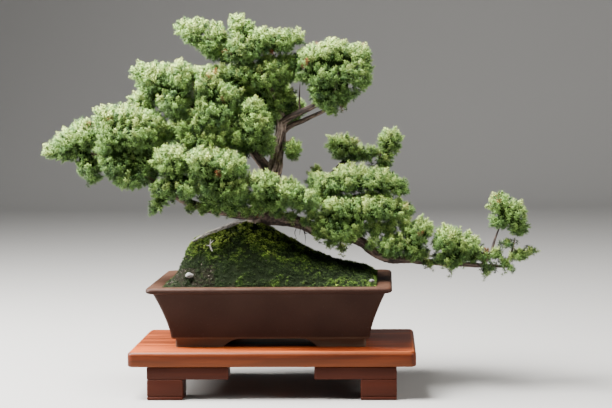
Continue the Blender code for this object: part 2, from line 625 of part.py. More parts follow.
# Each pad is a cloud of lumps: the centre and the half sizes of each.
PADS = {
    "pad_apex_tip": (
        ((-0.140, 0.005, 0.559), (0.014, 0.020, 0.013)), ((-0.116, 0.005, 0.550), (0.026, 0.035, 0.023)),
        ((-0.090, 0.008, 0.536), (0.027, 0.042, 0.030)),
    ),
    "pad_apex": (
        ((-0.052, 0.010, 0.552), (0.021, 0.035, 0.026)), ((-0.050, 0.010, 0.522), (0.038, 0.055, 0.030)),
        ((-0.017, 0.010, 0.534), (0.025, 0.042, 0.022)), ((0.015, 0.012, 0.533), (0.021, 0.035, 0.022)),
    ),
    "pad_crown": (
        ((-0.060, 0.018, 0.484), (0.040, 0.055, 0.026)), ((-0.018, 0.022, 0.482), (0.038, 0.060, 0.029)),
        ((0.020, 0.020, 0.494), (0.025, 0.045, 0.022)),
        ((-0.036, 0.034, 0.444), (0.031, 0.055, 0.031)), ((-0.002, 0.032, 0.440), (0.028, 0.050, 0.031)),
        ((-0.020, 0.038, 0.408), (0.025, 0.040, 0.020)),
    ),
    "pad_upper_right": (
        ((0.062, 0.000, 0.508), (0.026, 0.040, 0.022)), ((0.094, 0.000, 0.516), (0.026, 0.045, 0.023)),
        ((0.080, 0.000, 0.480), (0.030, 0.045, 0.025)), ((0.044, 0.000, 0.487), (0.016, 0.030, 0.017)),
        ((0.128, 0.000, 0.508), (0.026, 0.040, 0.023)), ((0.120, 0.000, 0.485), (0.034, 0.050, 0.025)),
        ((0.108, 0.000, 0.457), (0.027, 0.035, 0.017)), ((0.138, 0.000, 0.474), (0.017, 0.030, 0.016)),
        ((0.088, -0.010, 0.439), (0.018, 0.022, 0.014)), ((0.068, -0.008, 0.455), (0.016, 0.022, 0.013)),
    ),
    "pad_left_middle_outer": (
        ((-0.202, -0.015, 0.489), (0.017, 0.030, 0.017)), ((-0.173, -0.015, 0.477), (0.034, 0.045, 0.028)),
        ((-0.139, -0.015, 0.474), (0.033, 0.055, 0.031)), ((-0.150, -0.018, 0.438), (0.034, 0.055, 0.028)),
        ((-0.188, -0.018, 0.453), (0.022, 0.034, 0.022)),
    ),
    "pad_left_middle_inner": (
        ((-0.102, -0.015, 0.470), (0.030, 0.050, 0.029)), ((-0.072, -0.015, 0.450), (0.032, 0.050, 0.028)),
        ((-0.088, -0.020, 0.424), (0.040, 0.058, 0.032)),
    ),
    "pad_left_middle_low": (
        ((-0.032, -0.022, 0.432), (0.024, 0.036, 0.022)), ((-0.026, -0.020, 0.404), (0.028, 0.046, 0.034)),
        ((-0.012, -0.020, 0.377), (0.017, 0.028, 0.020)), ((-0.052, -0.016, 0.392), (0.028, 0.044, 0.024)),
    ),
    "pad_left_low_tip": (
        ((-0.339, -0.030, 0.372), (0.015, 0.025, 0.015)), ((-0.314, -0.030, 0.378), (0.027, 0.040, 0.023)),
        ((-0.286, -0.030, 0.393), (0.028, 0.050, 0.029)), ((-0.272, -0.034, 0.344), (0.028, 0.044, 0.022)),
    ),
    "pad_left_low_inner": (
        ((-0.256, -0.030, 0.418), (0.024, 0.045, 0.022)), ((-0.222, -0.030, 0.420), (0.032, 0.050, 0.022)),
        ((-0.200, -0.034, 0.392), (0.038, 0.058, 0.032)), ((-0.240, -0.034, 0.390), (0.034, 0.055, 0.030)),
        ((-0.240, -0.036, 0.350), (0.036, 0.056, 0.026)), ((-0.216, -0.036, 0.334), (0.038, 0.050, 0.024)),
        ((-0.190, -0.030, 0.350), (0.026, 0.050, 0.026)), ((-0.180, -0.030, 0.420), (0.024, 0.040, 0.022)),
    ),
    "pad_front_outer": (
        ((-0.148, -0.058, 0.354), (0.034, 0.050, 0.027)), ((-0.160, -0.054, 0.314), (0.026, 0.036, 0.020)),
        ((-0.176, -0.050, 0.286), (0.014, 0.020, 0.015)), ((-0.124, -0.058, 0.316), (0.030, 0.048, 0.023)),
    ),
    "pad_front_inner": (
        ((-0.104, -0.060, 0.354), (0.028, 0.054, 0.025)), ((-0.069, -0.058, 0.346), (0.033, 0.054, 0.027)),
        ((-0.060, -0.055, 0.312), (0.032, 0.048, 0.024)), ((-0.094, -0.056, 0.318), (0.024, 0.048, 0.024)),
        ((-0.110, -0.052, 0.294), (0.022, 0.028, 0.014)), ((-0.076, -0.052, 0.290), (0.024, 0.028, 0.013)),
        ((-0.050, -0.050, 0.289), (0.022, 0.026, 0.014)),
    ),
    "pad_front_right": (
        ((-0.014, -0.048, 0.316), (0.028, 0.045, 0.024)), ((0.021, -0.044, 0.304), (0.030, 0.045, 0.023)),
        ((0.050, -0.040, 0.294), (0.026, 0.040, 0.020)), ((0.004, -0.042, 0.290), (0.030, 0.035, 0.014)),
        ((-0.022, -0.048, 0.290), (0.022, 0.026, 0.014)),
    ),
    "pad_trunk_tuft": (((0.028, 0.004, 0.370), (0.015, 0.020, 0.018)),),
    "pad_back_right": (
        ((0.106, 0.084, 0.368), (0.026, 0.030, 0.021)), ((0.120, 0.084, 0.356), (0.018, 0.025, 0.014)),
        ((0.092, 0.082, 0.378), (0.014, 0.020, 0.010)), ((0.142, 0.088, 0.359), (0.016, 0.020, 0.012)),
    ),
    "pad_back_right_tip": (
        ((0.180, 0.100, 0.378), (0.021, 0.025, 0.021)), ((0.169, 0.096, 0.348), (0.016, 0.020, 0.018)),
    ),
    "pad_right_upper": (
        ((0.080, 0.000, 0.308), (0.028, 0.045, 0.022)), ((0.117, 0.000, 0.320), (0.034, 0.050, 0.025)),
        ((0.160, 0.000, 0.320), (0.031, 0.050, 0.022)), ((0.187, 0.000, 0.308), (0.022, 0.035, 0.020)),
        ((0.064, 0.008, 0.318), (0.016, 0.034, 0.018)),
    ),
    "pad_right_lower": (
        ((0.110, -0.012, 0.280), (0.040, 0.055, 0.024)), ((0.156, -0.010, 0.280), (0.036, 0.055, 0.024)),
        ((0.193, -0.010, 0.273), (0.025, 0.040, 0.018)), ((0.088, -0.018, 0.256), (0.028, 0.040, 0.022)),
        ((0.123, -0.020, 0.254), (0.027, 0.036, 0.020)), ((0.074, -0.042, 0.250), (0.018, 0.024, 0.017)),
        ((0.102, -0.042, 0.241), (0.020, 0.024, 0.018)),
    ),
    "pad_cascade_inner": (
        ((0.181, -0.024, 0.222), (0.026, 0.036, 0.020)), ((0.222, -0.020, 0.240), (0.028, 0.040, 0.023)),
        ((0.216, -0.020, 0.214), (0.030, 0.035, 0.018)),
    ),
    "pad_cascade_outer": (
        ((0.263, -0.020, 0.228), (0.029, 0.045, 0.024)), ((0.292, -0.020, 0.220), (0.023, 0.035, 0.020)),
        ((0.268, -0.020, 0.204), (0.030, 0.035, 0.018)), ((0.317, -0.020, 0.205), (0.022, 0.024, 0.014)),
    ),
    "pad_tip": (
        ((0.345, -0.020, 0.285), (0.018, 0.025, 0.018)), ((0.365, -0.020, 0.270), (0.021, 0.030, 0.021)),
        ((0.346, -0.020, 0.259), (0.019, 0.025, 0.014)), ((0.373, -0.020, 0.250), (0.018, 0.025, 0.017)),
    ),
    "pad_tip_low": (
        ((0.392, -0.020, 0.212), (0.013, 0.015, 0.008)), ((0.371, -0.018, 0.205), (0.016, 0.018, 0.010)),
    ),
    "pad_back_left": (
        ((-0.120, 0.088, 0.412), (0.046, 0.044, 0.034)), ((-0.076, 0.092, 0.396), (0.044, 0.046, 0.030)),
        ((-0.150, 0.080, 0.396), (0.034, 0.036, 0.024)),
    ),
    "pad_back_crown": (
        ((-0.020, 0.098, 0.452), (0.044, 0.038, 0.036)), ((0.012, 0.092, 0.430), (0.034, 0.036, 0.028)),
    ),
}


def depth_in(point, lumps):
    """Roughly how far a point is outside a cloud of lumps, in metres: negative inside."""
    best = 1.0
    for centre, half in lumps:
        scaled = Vector([(p - c) / h for p, c, h in zip(point, centre, half)])
        best = min(best, (scaled.length - 1.0) * min(half))
    return best


def pad_reach(heart, direction, lumps, rivals):
    """How far a pad's surface is from its heart: to its last lump, or short of a neighbour."""
    reach, distance = PAD_STEP, PAD_STEP
    while distance < 0.16:
        point = heart + direction * distance
        own = depth_in(point, lumps)
        if any(depth_in(point, rival) < own + PAD_GAP for rival in rivals):
            break
        if own < 0:
            reach = distance
        distance += PAD_STEP
    return reach


def build_pad(name, lumps, material):
    weights = [half[0] * half[1] * half[2] for _, half in lumps]
    heart = Vector((0, 0, 0))
    for (centre, _), weight in zip(lumps, weights):
        heart += Vector(centre) * weight / sum(weights)
    low = Vector([min(c[i] - h[i] for c, h in lumps) for i in range(3)])
    high = Vector([max(c[i] + h[i] for c, h in lumps) for i in range(3)])
    room = PAD_GAP * 2
    rivals = [
        other
        for key, other in PADS.items()
        if key != name
        and all(
            min(c[i] - h[i] for c, h in other) < high[i] + room
            and max(c[i] + h[i] for c, h in other) > low[i] - room
            for i in range(3)
        )
    ]
    shape = bmesh.new()
    fineness = 3 if max(high - low) > 0.065 else 2
    bmesh.ops.create_icosphere(shape, subdivisions=fineness, radius=1.0)
    for vertex in shape.verts:
        direction = Vector([v * (h - l) for v, h, l in zip(vertex.co, high, low)]).normalized()
        vertex.co = heart + direction * pad_reach(heart, direction, lumps, rivals)
    return add_object(name, mesh_from(name, shape), material)


def build_foliage(limb_cutters):
    needles = new_material("juniper_needles", (0.12, 0.28, 0.07), 0.6)
    pads = []
    for name, lumps in PADS.items():
        pad = build_pad(name, lumps, needles)
        for cutter in limb_cutters.values():
            if boxes_meet(pad, cutter):
                cut(pad, cutter)
        pads.append(pad)
    return pads


# ---------------------------------------------------------------- the whole object


def footprint_middle(objects):
    """The middle, in X and Y, of the box round all the pieces."""
    graph = bpy.context.evaluated_depsgraph_get()
    corners = []
    for obj in objects:
        evaluated = obj.evaluated_get(graph)
        corners += [obj.matrix_world @ Vector(corner) for corner in evaluated.bound_box]
    middle = [(min(c[i] for c in corners) + max(c[i] for c in corners)) / 2 for i in range(2)]
    return Vector((*middle, 0.0))


def main():
    clear_scene()
    limbs, limb_cutters = build_wood()
    pieces = list(limbs.values()) + list(limb_cutters.values())
    pieces += build_stand()
    pieces += build_pot()
    pieces += build_drainage()
    pieces += build_ground(limb_cutters["trunk"])
    pieces += build_litter()
    pieces += build_foliage(limb_cutters)
    bpy.context.view_layer.update()

    bonsai = bpy.data.objects.new("bonsai", None)
    bpy.context.scene.collection.objects.link(bonsai)
    bonsai.location = -footprint_middle([piece for piece in pieces if not piece.hide_render])
    for piece in pieces:
        piece.parent = bonsai
        if piece.data.polygons:
            piece.data.shade_smooth()
            piece.data.set_sharp_from_angle(angle=math.radians(40))


main()
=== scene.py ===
# %% [markdown]
# # A juniper bonsai on its display stand
# The tree grows on a mossy mound in an unglazed clay pot, and the pot stands on a low wooden stand.
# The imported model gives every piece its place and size. This lesson puts real bark, needles, moss,
# clay and wood on it. The first cell loads that model and measures the stand's board, because all
# the places below are counted from the middle of the board, at the height of the table.

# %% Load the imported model
import math

import bpy
import numpy as np
from mathutils import Matrix, Vector, noise
from mathutils.bvhtree import BVHTree


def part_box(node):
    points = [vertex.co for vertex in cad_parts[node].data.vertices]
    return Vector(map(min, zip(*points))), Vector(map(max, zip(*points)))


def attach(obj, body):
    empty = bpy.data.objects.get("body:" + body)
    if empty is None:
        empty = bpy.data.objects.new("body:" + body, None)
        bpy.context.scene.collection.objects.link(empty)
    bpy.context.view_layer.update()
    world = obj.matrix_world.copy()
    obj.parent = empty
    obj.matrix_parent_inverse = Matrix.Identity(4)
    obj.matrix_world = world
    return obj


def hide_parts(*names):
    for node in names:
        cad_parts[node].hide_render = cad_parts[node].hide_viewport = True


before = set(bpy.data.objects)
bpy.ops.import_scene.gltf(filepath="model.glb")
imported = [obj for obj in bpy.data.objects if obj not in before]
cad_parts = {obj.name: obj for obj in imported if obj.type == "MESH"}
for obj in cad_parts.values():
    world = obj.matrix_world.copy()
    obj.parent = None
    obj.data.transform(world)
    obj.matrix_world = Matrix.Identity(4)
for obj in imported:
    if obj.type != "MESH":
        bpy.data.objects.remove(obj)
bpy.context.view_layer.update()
board_low, board_high = (Vector(corner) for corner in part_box("stand_top_board"))
stand_middle = (board_low + board_high) / 2
stand_middle.z = 0.0


def place(x, y, z):
    """A point given from the middle of the stand, at table height."""
    return stand_middle + Vector((x, y, z))


# %% [markdown]
# ## The camera
# A long lens from well back keeps the pot's sides nearly square, as for a portrait of a tree. It is
# a little above the rim of the pot, so the moss and the top of the board show.

# %% Set the camera
LENS_MM = 94.1
EYE = (0.171, -2.461, 0.447)
YAW, PITCH, ROLL = math.radians(2.85), math.radians(-3.78), math.radians(0.58)

camera_data = bpy.data.cameras.new("portrait_camera")
camera_data.lens = LENS_MM
camera_data.sensor_width = 36.0
camera = bpy.data.objects.new("portrait_camera", camera_data)
bpy.context.scene.collection.objects.link(camera)
turn = Matrix.Rotation(YAW, 3, "Z") @ Matrix.Rotation(PITCH, 3, "X") @ Matrix.Rotation(ROLL, 3, "Y")
level = turn @ Matrix.Rotation(math.radians(90), 3, "X")
camera.matrix_world = Matrix.Translation(place(*EYE)) @ level.to_4x4()
bpy.context.scene.camera = camera
print("camera at", [round(v, 3) for v in camera.location])


# %% [markdown]
# ## A few bench tools
# Blender's operators work on what is selected and active, so each job starts with nothing selected.
# These helpers select faces, edges or corners by where they are, the way a modeller box-selects.

# %% Bench tools for modelling
def deselect():
    bpy.ops.object.select_all(action="DESELECT")


def take(piece):
    """Makes one piece the only selected and active one."""
    deselect()
    piece.select_set(True)
    bpy.context.view_layer.objects.active = piece


def settle(piece):
    """Puts the piece's place into its mesh, and its object at the origin."""
    take(piece)
    bpy.ops.object.transform_apply(location=True, rotation=True, scale=True)


def choose(piece, kind, test):
    """In edit mode, selects the corners, edges or faces whose middle passes the test."""
    bpy.ops.mesh.select_mode(type=kind)
    bpy.ops.mesh.select_all(action="DESELECT")
    bpy.ops.object.mode_set(mode="OBJECT")
    corners = piece.data.vertices
    if kind == "VERT":
        for corner in corners:
            corner.select = test(corner.co)
    elif kind == "EDGE":
        for edge in piece.data.edges:
            ends = [corners[i].co for i in edge.vertices]
            edge.select = test((ends[0] + ends[1]) / 2, (ends[1] - ends[0]).normalized())
    else:
        for face in piece.data.polygons:
            face.select = test(face.center, face.normal)
    bpy.ops.object.mode_set(mode="EDIT")


def soft_shading(piece, degrees=35):
    take(piece)
    bpy.ops.object.shade_smooth_by_angle(angle=math.radians(degrees))


def joined(pieces):
    """Joins the pieces into the first one."""
    take(pieces[0])
    for piece in pieces:
        piece.select_set(True)
    bpy.ops.object.join()
    return bpy.context.object


def finish_with(piece, kind, **settings):
    """Adds a modifier with these settings and applies it."""
    take(piece)
    bpy.ops.object.modifier_add(type=kind)
    modifier = piece.modifiers[-1]
    for name, value in settings.items():
        setattr(modifier, name, value)
    bpy.ops.object.modifier_apply(modifier=modifier.name)


def hand_over(piece, material, slot, *nodes):
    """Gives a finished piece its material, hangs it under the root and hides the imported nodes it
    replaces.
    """
    settle(piece)
    piece.data.materials.clear()
    piece.data.materials.append(material)
    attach(piece, "root")
    if nodes:
        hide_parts(*nodes)


# %% [markdown]
# ## Bench tools for materials
# A material is a small network of nodes round one Principled BSDF. The helpers below add a node,
# join sockets and set up colour ramps, so that each recipe further down stays a few lines long.

# %% Bench tools for materials
def new_material(name, roughness=0.8):
    material = bpy.data.materials.new(name)
    material.use_nodes = True
    shader = material.node_tree.nodes["Principled BSDF"]
    shader.inputs["Roughness"].default_value = roughness
    return material, material.node_tree, shader


def set_finish(material, socket, value):
    """Sets one of the finish values that are the same all over a surface."""
    material.node_tree.nodes["Principled BSDF"].inputs[socket].default_value = value


def add_node(tree, kind, **settings):
    node = tree.nodes.new(kind)
    for name, value in settings.items():
        if name in node.inputs:
            node.inputs[name].default_value = value
        else:
            setattr(node, name, value)
    return node


def ramp(tree, source, *stops):
    """A colour ramp fed by a socket; each stop is a position and a colour."""
    node = tree.nodes.new("ShaderNodeValToRGB")
    elements = node.color_ramp.elements
    elements.remove(elements[1])
    for number, (position, colour) in enumerate(stops):
        element = elements[0] if number == 0 else elements.new(position)
        element.position = position
        element.color = (*colour, 1.0)
    tree.links.new(source, node.inputs["Fac"])
    return node.outputs["Color"]


def blend_colours(tree, factor, first, second, mode="MIX"):
    node = tree.nodes.new("ShaderNodeMix")
    node.data_type = "RGBA"
    node.blend_type = mode
    sockets = (node.inputs[0], node.inputs[6], node.inputs[7])
    for socket, value in zip(sockets, (factor, first, second)):
        if isinstance(value, bpy.types.NodeSocket):
            tree.links.new(value, socket)
        elif isinstance(value, tuple):
            socket.default_value = (*value, 1.0)
        else:
            socket.default_value = value
    return node.outputs[2]


def stretched(tree, scale):
    """Object coordinates, stretched by a scale on each axis."""
    where = tree.nodes.new("ShaderNodeTexCoord")
    mapping = tree.nodes.new("ShaderNodeMapping")
    mapping.inputs["Scale"].default_value = scale
    tree.links.new(where.outputs["Object"], mapping.inputs["Vector"])
    return mapping.outputs["Vector"]


def noise_of(tree, vector, scale, detail=4.0, roughness=0.55, distortion=0.0):
    node = add_node(tree, "ShaderNodeTexNoise", Scale=scale, Detail=detail, Roughness=roughness)
    node.inputs["Distortion"].default_value = distortion
    tree.links.new(vector, node.inputs["Vector"])
    return node.outputs["Fac"]


def bump_from(tree, shader, height, distance, strength=1.0):
    bump = add_node(tree, "ShaderNodeBump", Strength=strength, Distance=distance)
    tree.links.new(height, bump.inputs["Height"])
    tree.links.new(bump.outputs["Normal"], shader.inputs["Normal"])


def attribute(tree, name):
    node = tree.nodes.new("ShaderNodeAttribute")
    node.attribute_name = name
    return node.outputs["Fac"]


# %% [markdown]
# Clay and wood both change with height: dust and painted light on the rim, painted bounce light on
# the feet, and painted light on the board's flat top. A small node group turns height in the object
# into a mask, and each material gives its own two heights, where the mask is 0 and where it is 1.

# %% Build the height mask group
def height_mask_group():
    group = bpy.data.node_groups.new("height mask", "ShaderNodeTree")
    for name in ("None At", "Full At"):
        group.interface.new_socket(name, in_out="INPUT", socket_type="NodeSocketFloat")
    group.interface.new_socket("Mask", in_out="OUTPUT", socket_type="NodeSocketFloat")
    heights = group.nodes.new("NodeGroupInput")
    where = group.nodes.new("ShaderNodeTexCoord")
    split = group.nodes.new("ShaderNodeSeparateXYZ")
    scale = group.nodes.new("ShaderNodeMapRange")
    out = group.nodes.new("NodeGroupOutput")
    group.links.new(where.outputs["Object"], split.inputs["Vector"])
    group.links.new(split.outputs["Z"], scale.inputs["Value"])
    group.links.new(heights.outputs["None At"], scale.inputs["From Min"])
    group.links.new(heights.outputs["Full At"], scale.inputs["From Max"])
    group.links.new(scale.outputs["Result"], out.inputs["Mask"])
    return group


height_mask_nodes = height_mask_group()


def height_mask(tree, none_at, full_at):
    node = tree.nodes.new("ShaderNodeGroup")
    node.node_tree = height_mask_nodes
    node.inputs["None At"].default_value = none_at
    node.inputs["Full At"].default_value = full_at
    return node.outputs["Mask"]


# %% [markdown]
# ## Oiled hardwood
# The stand is a red-brown hardwood with long grain along the board: broad dark bands, fine streaks
# and short pores. One node group makes the grain for every wooden piece, and each material places
# its own colours on what the group puts out. The edges are paler, partly where hands and cloths rub
# and partly as a painted highlight where they catch the light, and a value stored on the corners of
# the mesh says where that is. The flat top of the board is painted far paler than its edges, as
# painted light falling on it. The legs get a far darker copy of the same wood, as painted shade
# under the board.

# %% Build the wood grain group
def wood_grain_group():
    group = bpy.data.node_groups.new("long wood grain", "ShaderNodeTree")
    group.interface.new_socket("Figure", in_out="OUTPUT", socket_type="NodeSocketFloat")
    group.interface.new_socket("Pores", in_out="OUTPUT", socket_type="NodeSocketFloat")
    broad = noise_of(group, stretched(group, (2.2, 20.0, 30.0)), 1.0, 3.0, 0.5, 0.6)
    streaks = noise_of(group, stretched(group, (7.0, 260.0, 240.0)), 1.0, 4.0, 0.6, 0.2)
    pores = noise_of(group, stretched(group, (45.0, 1100.0, 900.0)), 1.0, 2.0, 0.6)
    rings = add_node(group, "ShaderNodeMath", operation="MULTIPLY")
    group.links.new(broad, rings.inputs[0])
    rings.inputs[1].default_value = 22.0
    wave = add_node(group, "ShaderNodeMath", operation="SINE")
    group.links.new(rings.outputs[0], wave.inputs[0])
    figure = add_node(group, "ShaderNodeMath", operation="MULTIPLY_ADD")
    group.links.new(wave.outputs[0], figure.inputs[0])
    figure.inputs[1].default_value = 0.16
    group.links.new(streaks, figure.inputs[2])
    out = group.nodes.new("NodeGroupOutput")
    group.links.new(figure.outputs[0], out.inputs["Figure"])
    group.links.new(pores, out.inputs["Pores"])
    return group


wood_grain = wood_grain_group()


# Painted light: the flat top of the board is painted several times paler, fading in over the last
# 1.2 mm below the top.
PAINTED_TOP_LIGHT = (4.4, 5.2, 6.0)
PAINTED_TOP_LIGHT_FADES_OVER = 0.0012


def wood_material(name, dark, middle, light, worn_and_lit, roughness, painted_light_at=None):
    material, tree, shader = new_material(name, roughness)
    grain = tree.nodes.new("ShaderNodeGroup")
    grain.node_tree = wood_grain
    figure = ramp(tree, grain.outputs["Figure"], (0.28, dark), (0.50, middle), (0.74, light))
    pore = ramp(tree, grain.outputs["Pores"], (0.30, (0.45, 0.45, 0.45)), (0.46, (1, 1, 1)))
    colour = blend_colours(tree, 0.75, figure, pore, "MULTIPLY")
    # Paler edges: partly real wear, partly a painted highlight where the edges catch the light.
    rubbed_and_lit = ramp(tree, attribute(tree, "wear_and_edge_highlight"), (0.25, (0, 0, 0)), (0.95, (0.75, 0.75, 0.75)))
    colour = blend_colours(tree, rubbed_and_lit, colour, worn_and_lit)
    # Painted light on the board's flat top: its colour is multiplied up there.
    if painted_light_at is not None:
        lit_top_mask = height_mask(tree, painted_light_at - PAINTED_TOP_LIGHT_FADES_OVER, painted_light_at)
        top_light_colour = blend_colours(tree, lit_top_mask, (1.0, 1.0, 1.0), PAINTED_TOP_LIGHT)
        colour = blend_colours(tree, 1.0, colour, top_light_colour, "MULTIPLY")
    tree.links.new(colour, shader.inputs["Base Color"])
    bump_from(tree, shader, grain.outputs["Pores"], 0.00012)
    shader.inputs["Coat Weight"].default_value = 0.02
    shader.inputs["Specular IOR Level"].default_value = 0.14
    shader.inputs["Coat Roughness"].default_value = 0.22
    return material


board_wood = wood_material(
    "oiled board wood", dark=(0.017, 0.0021, 0.0005), middle=(0.045, 0.0062, 0.0012),
    light=(0.078, 0.0135, 0.0025), worn_and_lit=(0.19, 0.048, 0.011), roughness=0.42,
    painted_light_at=board_high.z,
)
# The legs are the same wood as the board, painted far darker as painted shade under the board.
shaded_leg_wood = wood_material(
    "oiled leg wood in painted shade", dark=(0.0045, 0.0005, 0.0001), middle=(0.0105, 0.0011, 0.0002),
    light=(0.0185, 0.0023, 0.0004), worn_and_lit=(0.075, 0.013, 0.003), roughness=0.60,
)


# %% [markdown]
# ## The stand
# The stand is thirteen blocks: a thick board, and at each corner an upper block, a foot block and a
# thin base pad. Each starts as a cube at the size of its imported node. Its edges are then bevelled:
# the board has generous rounded corners and a rounded top edge, and the legs have crisp small ones.

# %% Model the blocks of the stand
def block_from(node, name):
    low, high = (Vector(corner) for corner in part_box(node))
    deselect()
    bpy.ops.mesh.primitive_cube_add(size=1.0, location=(low + high) / 2)
    block = bpy.context.object
    block.name = name
    block.scale = high - low
    settle(block)
    return block, low, high


def bevel_edges(block, test, width, segments):
    take(block)
    bpy.ops.object.mode_set(mode="EDIT")
    choose(block, "EDGE", test)
    bpy.ops.mesh.bevel(offset=width, segments=segments, affect="EDGES", clamp_overlap=True)
    bpy.ops.object.mode_set(mode="OBJECT")


def mark_wear_and_edge_highlight(block, low, high, width):
    """Stores how near each corner of the mesh is to an edge of the block."""
    wear_and_edge_highlight = block.data.attributes.new("wear_and_edge_highlight", "FLOAT", "POINT")
    for corner, value in zip(block.data.vertices, wear_and_edge_highlight.data):
        depths = sorted(min(corner.co[i] - low[i], high[i] - corner.co[i]) for i in range(3))
        value.value = max(0.0, 1.0 - (depths[0] + depths[1]) / width)


board, low, high = block_from("stand_top_board", "board_of_the_stand")
bevel_edges(board, lambda middle, along: abs(along.z) > 0.9, 0.010, 6)
bevel_edges(board, lambda middle, along: abs(along.z) < 0.1 and middle.z > high.z - 1e-4, 0.0062, 5)
bevel_edges(board, lambda middle, along: abs(along.z) < 0.1 and middle.z < low.z + 1e-4, 0.0032, 3)
mark_wear_and_edge_highlight(board, low, high, 0.009)
soft_shading(board, 40)
hand_over(board, board_wood, "stand_top_wood", "stand_top_board")

leg_blocks = [
    name for name in sorted(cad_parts)
    if name.startswith(("stand_upper_block", "stand_foot_block", "stand_base_pad"))
]
for node in leg_blocks:
    block, low, high = block_from(node, node.replace("stand_", "leg_"))
    bevel_edges(block, lambda middle, along: True, 0.0013, 3)
    mark_wear_and_edge_highlight(block, low, high, 0.0035)
    soft_shading(block, 40)
    hand_over(block, shaded_leg_wood, "stand_leg_wood", node)
print("stand blocks:", 1 + len(leg_blocks))


# %% [markdown]
# ## The clay pot
# A rectangular bonsai pot is pressed in a mould: a foot ring, a wall that flares outwards, and a lip
# that turns out to a flat rim. The outline is always the same rounded rectangle, so the pot is one
# plane with bevelled corners that is extruded again and again, up the outside and down the inside.
# Then every ring is drawn out to its own inset, height and corner radius.

# %% The pot's profile
pot_low, pot_high = (Vector(corner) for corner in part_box("pot"))
pot_middle = (pot_low + pot_high) / 2
POT_HEIGHT = pot_high.z - pot_low.z
RIM_WIDTH = 0.024
FOOT_HEIGHT = 0.0135
FOOT_INSET, BODY_INSET, NECK_INSET = 0.0400, 0.0340, 0.0100
LIP_UNDERSIDE = POT_HEIGHT - 0.0098
POT_WALL = 0.0095
MOSS_SEAT = POT_HEIGHT - 0.016
WALL_RINGS = 16


def wall_inset(height):
    share = (height - FOOT_HEIGHT) / (LIP_UNDERSIDE - FOOT_HEIGHT)
    return BODY_INSET + (NECK_INSET - BODY_INSET) * min(max(share, 0.0), 1.0) ** 1.4


pot_rings = [(FOOT_INSET, 0.0, 0.004), (FOOT_INSET, 0.0118, 0.004)]
pot_rings += [(FOOT_INSET - 0.0006, 0.0127, 0.004)]
pot_rings += [(BODY_INSET + 0.0012, 0.0131, 0.005), (BODY_INSET, 0.0146, 0.005)]
for step in range(1, WALL_RINGS + 1):
    share = step / WALL_RINGS
    height = FOOT_HEIGHT + (LIP_UNDERSIDE - FOOT_HEIGHT) * share
    pot_rings.append((wall_inset(height), height, 0.005 + 0.003 * share))
for inset, drop, corner in (
    (0.0060, 0.0095, 0.009), (0.0026, 0.0086, 0.010), (0.0006, 0.0068, 0.011),
    (0.0, 0.0046, 0.011), (0.0006, 0.0024, 0.011), (0.0022, 0.0008, 0.011),
    (0.0048, 0.0, 0.011), (0.0190, 0.0005, 0.010), (0.0226, 0.0012, 0.010),
    (0.0240, 0.0034, 0.010), (0.0240, 0.0160, 0.010),
):
    pot_rings.append((inset, POT_HEIGHT - drop, corner))
POT_FLOOR = FOOT_HEIGHT + 0.008
for share in (0.75, 0.5, 0.25, 0.0):
    height = POT_FLOOR + (MOSS_SEAT - POT_FLOOR) * share
    pot_rings.append((max(wall_inset(height) + POT_WALL, RIM_WIDTH), height, 0.009))
print("rings in the pot:", len(pot_rings), "height:", round(POT_HEIGHT * 1000, 1), "mm")

# %% Extrude the pot and draw out its rings
half = (pot_high - pot_low) / 2
CORNER_STEPS = 5
RING_STEP = 0.01
deselect()
bpy.ops.mesh.primitive_plane_add(size=1.0, location=(0, 0, 0))
pot = bpy.context.object
pot.name = "clay_pot"
bpy.ops.object.mode_set(mode="EDIT")
bpy.ops.mesh.select_all(action="SELECT")
bpy.ops.mesh.bevel(offset=0.1, segments=CORNER_STEPS, affect="VERTICES")
for _ in pot_rings[1:]:
    bpy.ops.mesh.extrude_region_move(TRANSFORM_OT_translate={"value": (0, 0, RING_STEP)})
bpy.ops.object.mode_set(mode="OBJECT")

for corner in pot.data.vertices:
    inset, height, radius = pot_rings[round(corner.co.z / RING_STEP)]
    across = Vector((abs(corner.co.x) - 0.4, abs(corner.co.y) - 0.4)).normalized() * radius
    corner.co = (
        pot_middle.x + math.copysign(half.x - inset - radius + across.x, corner.co.x),
        pot_middle.y + math.copysign(half.y - inset - radius + across.y, corner.co.y),
        pot_low.z + height,
    )
take(pot)
bpy.ops.object.mode_set(mode="EDIT")
bpy.ops.mesh.select_all(action="SELECT")
bpy.ops.mesh.normals_make_consistent(inside=False)
bpy.ops.object.mode_set(mode="OBJECT")
print("pot corners:", len(pot.data.vertices))


# %% [markdown]
# The pot stands on four bracket feet. The clay between them is cut away with an S-shaped edge, so
# that water can run off and air can get under the pot. Each cutter is a plane that is drawn up in
# steps, each narrower than the last. Two round drainage holes go through the floor.

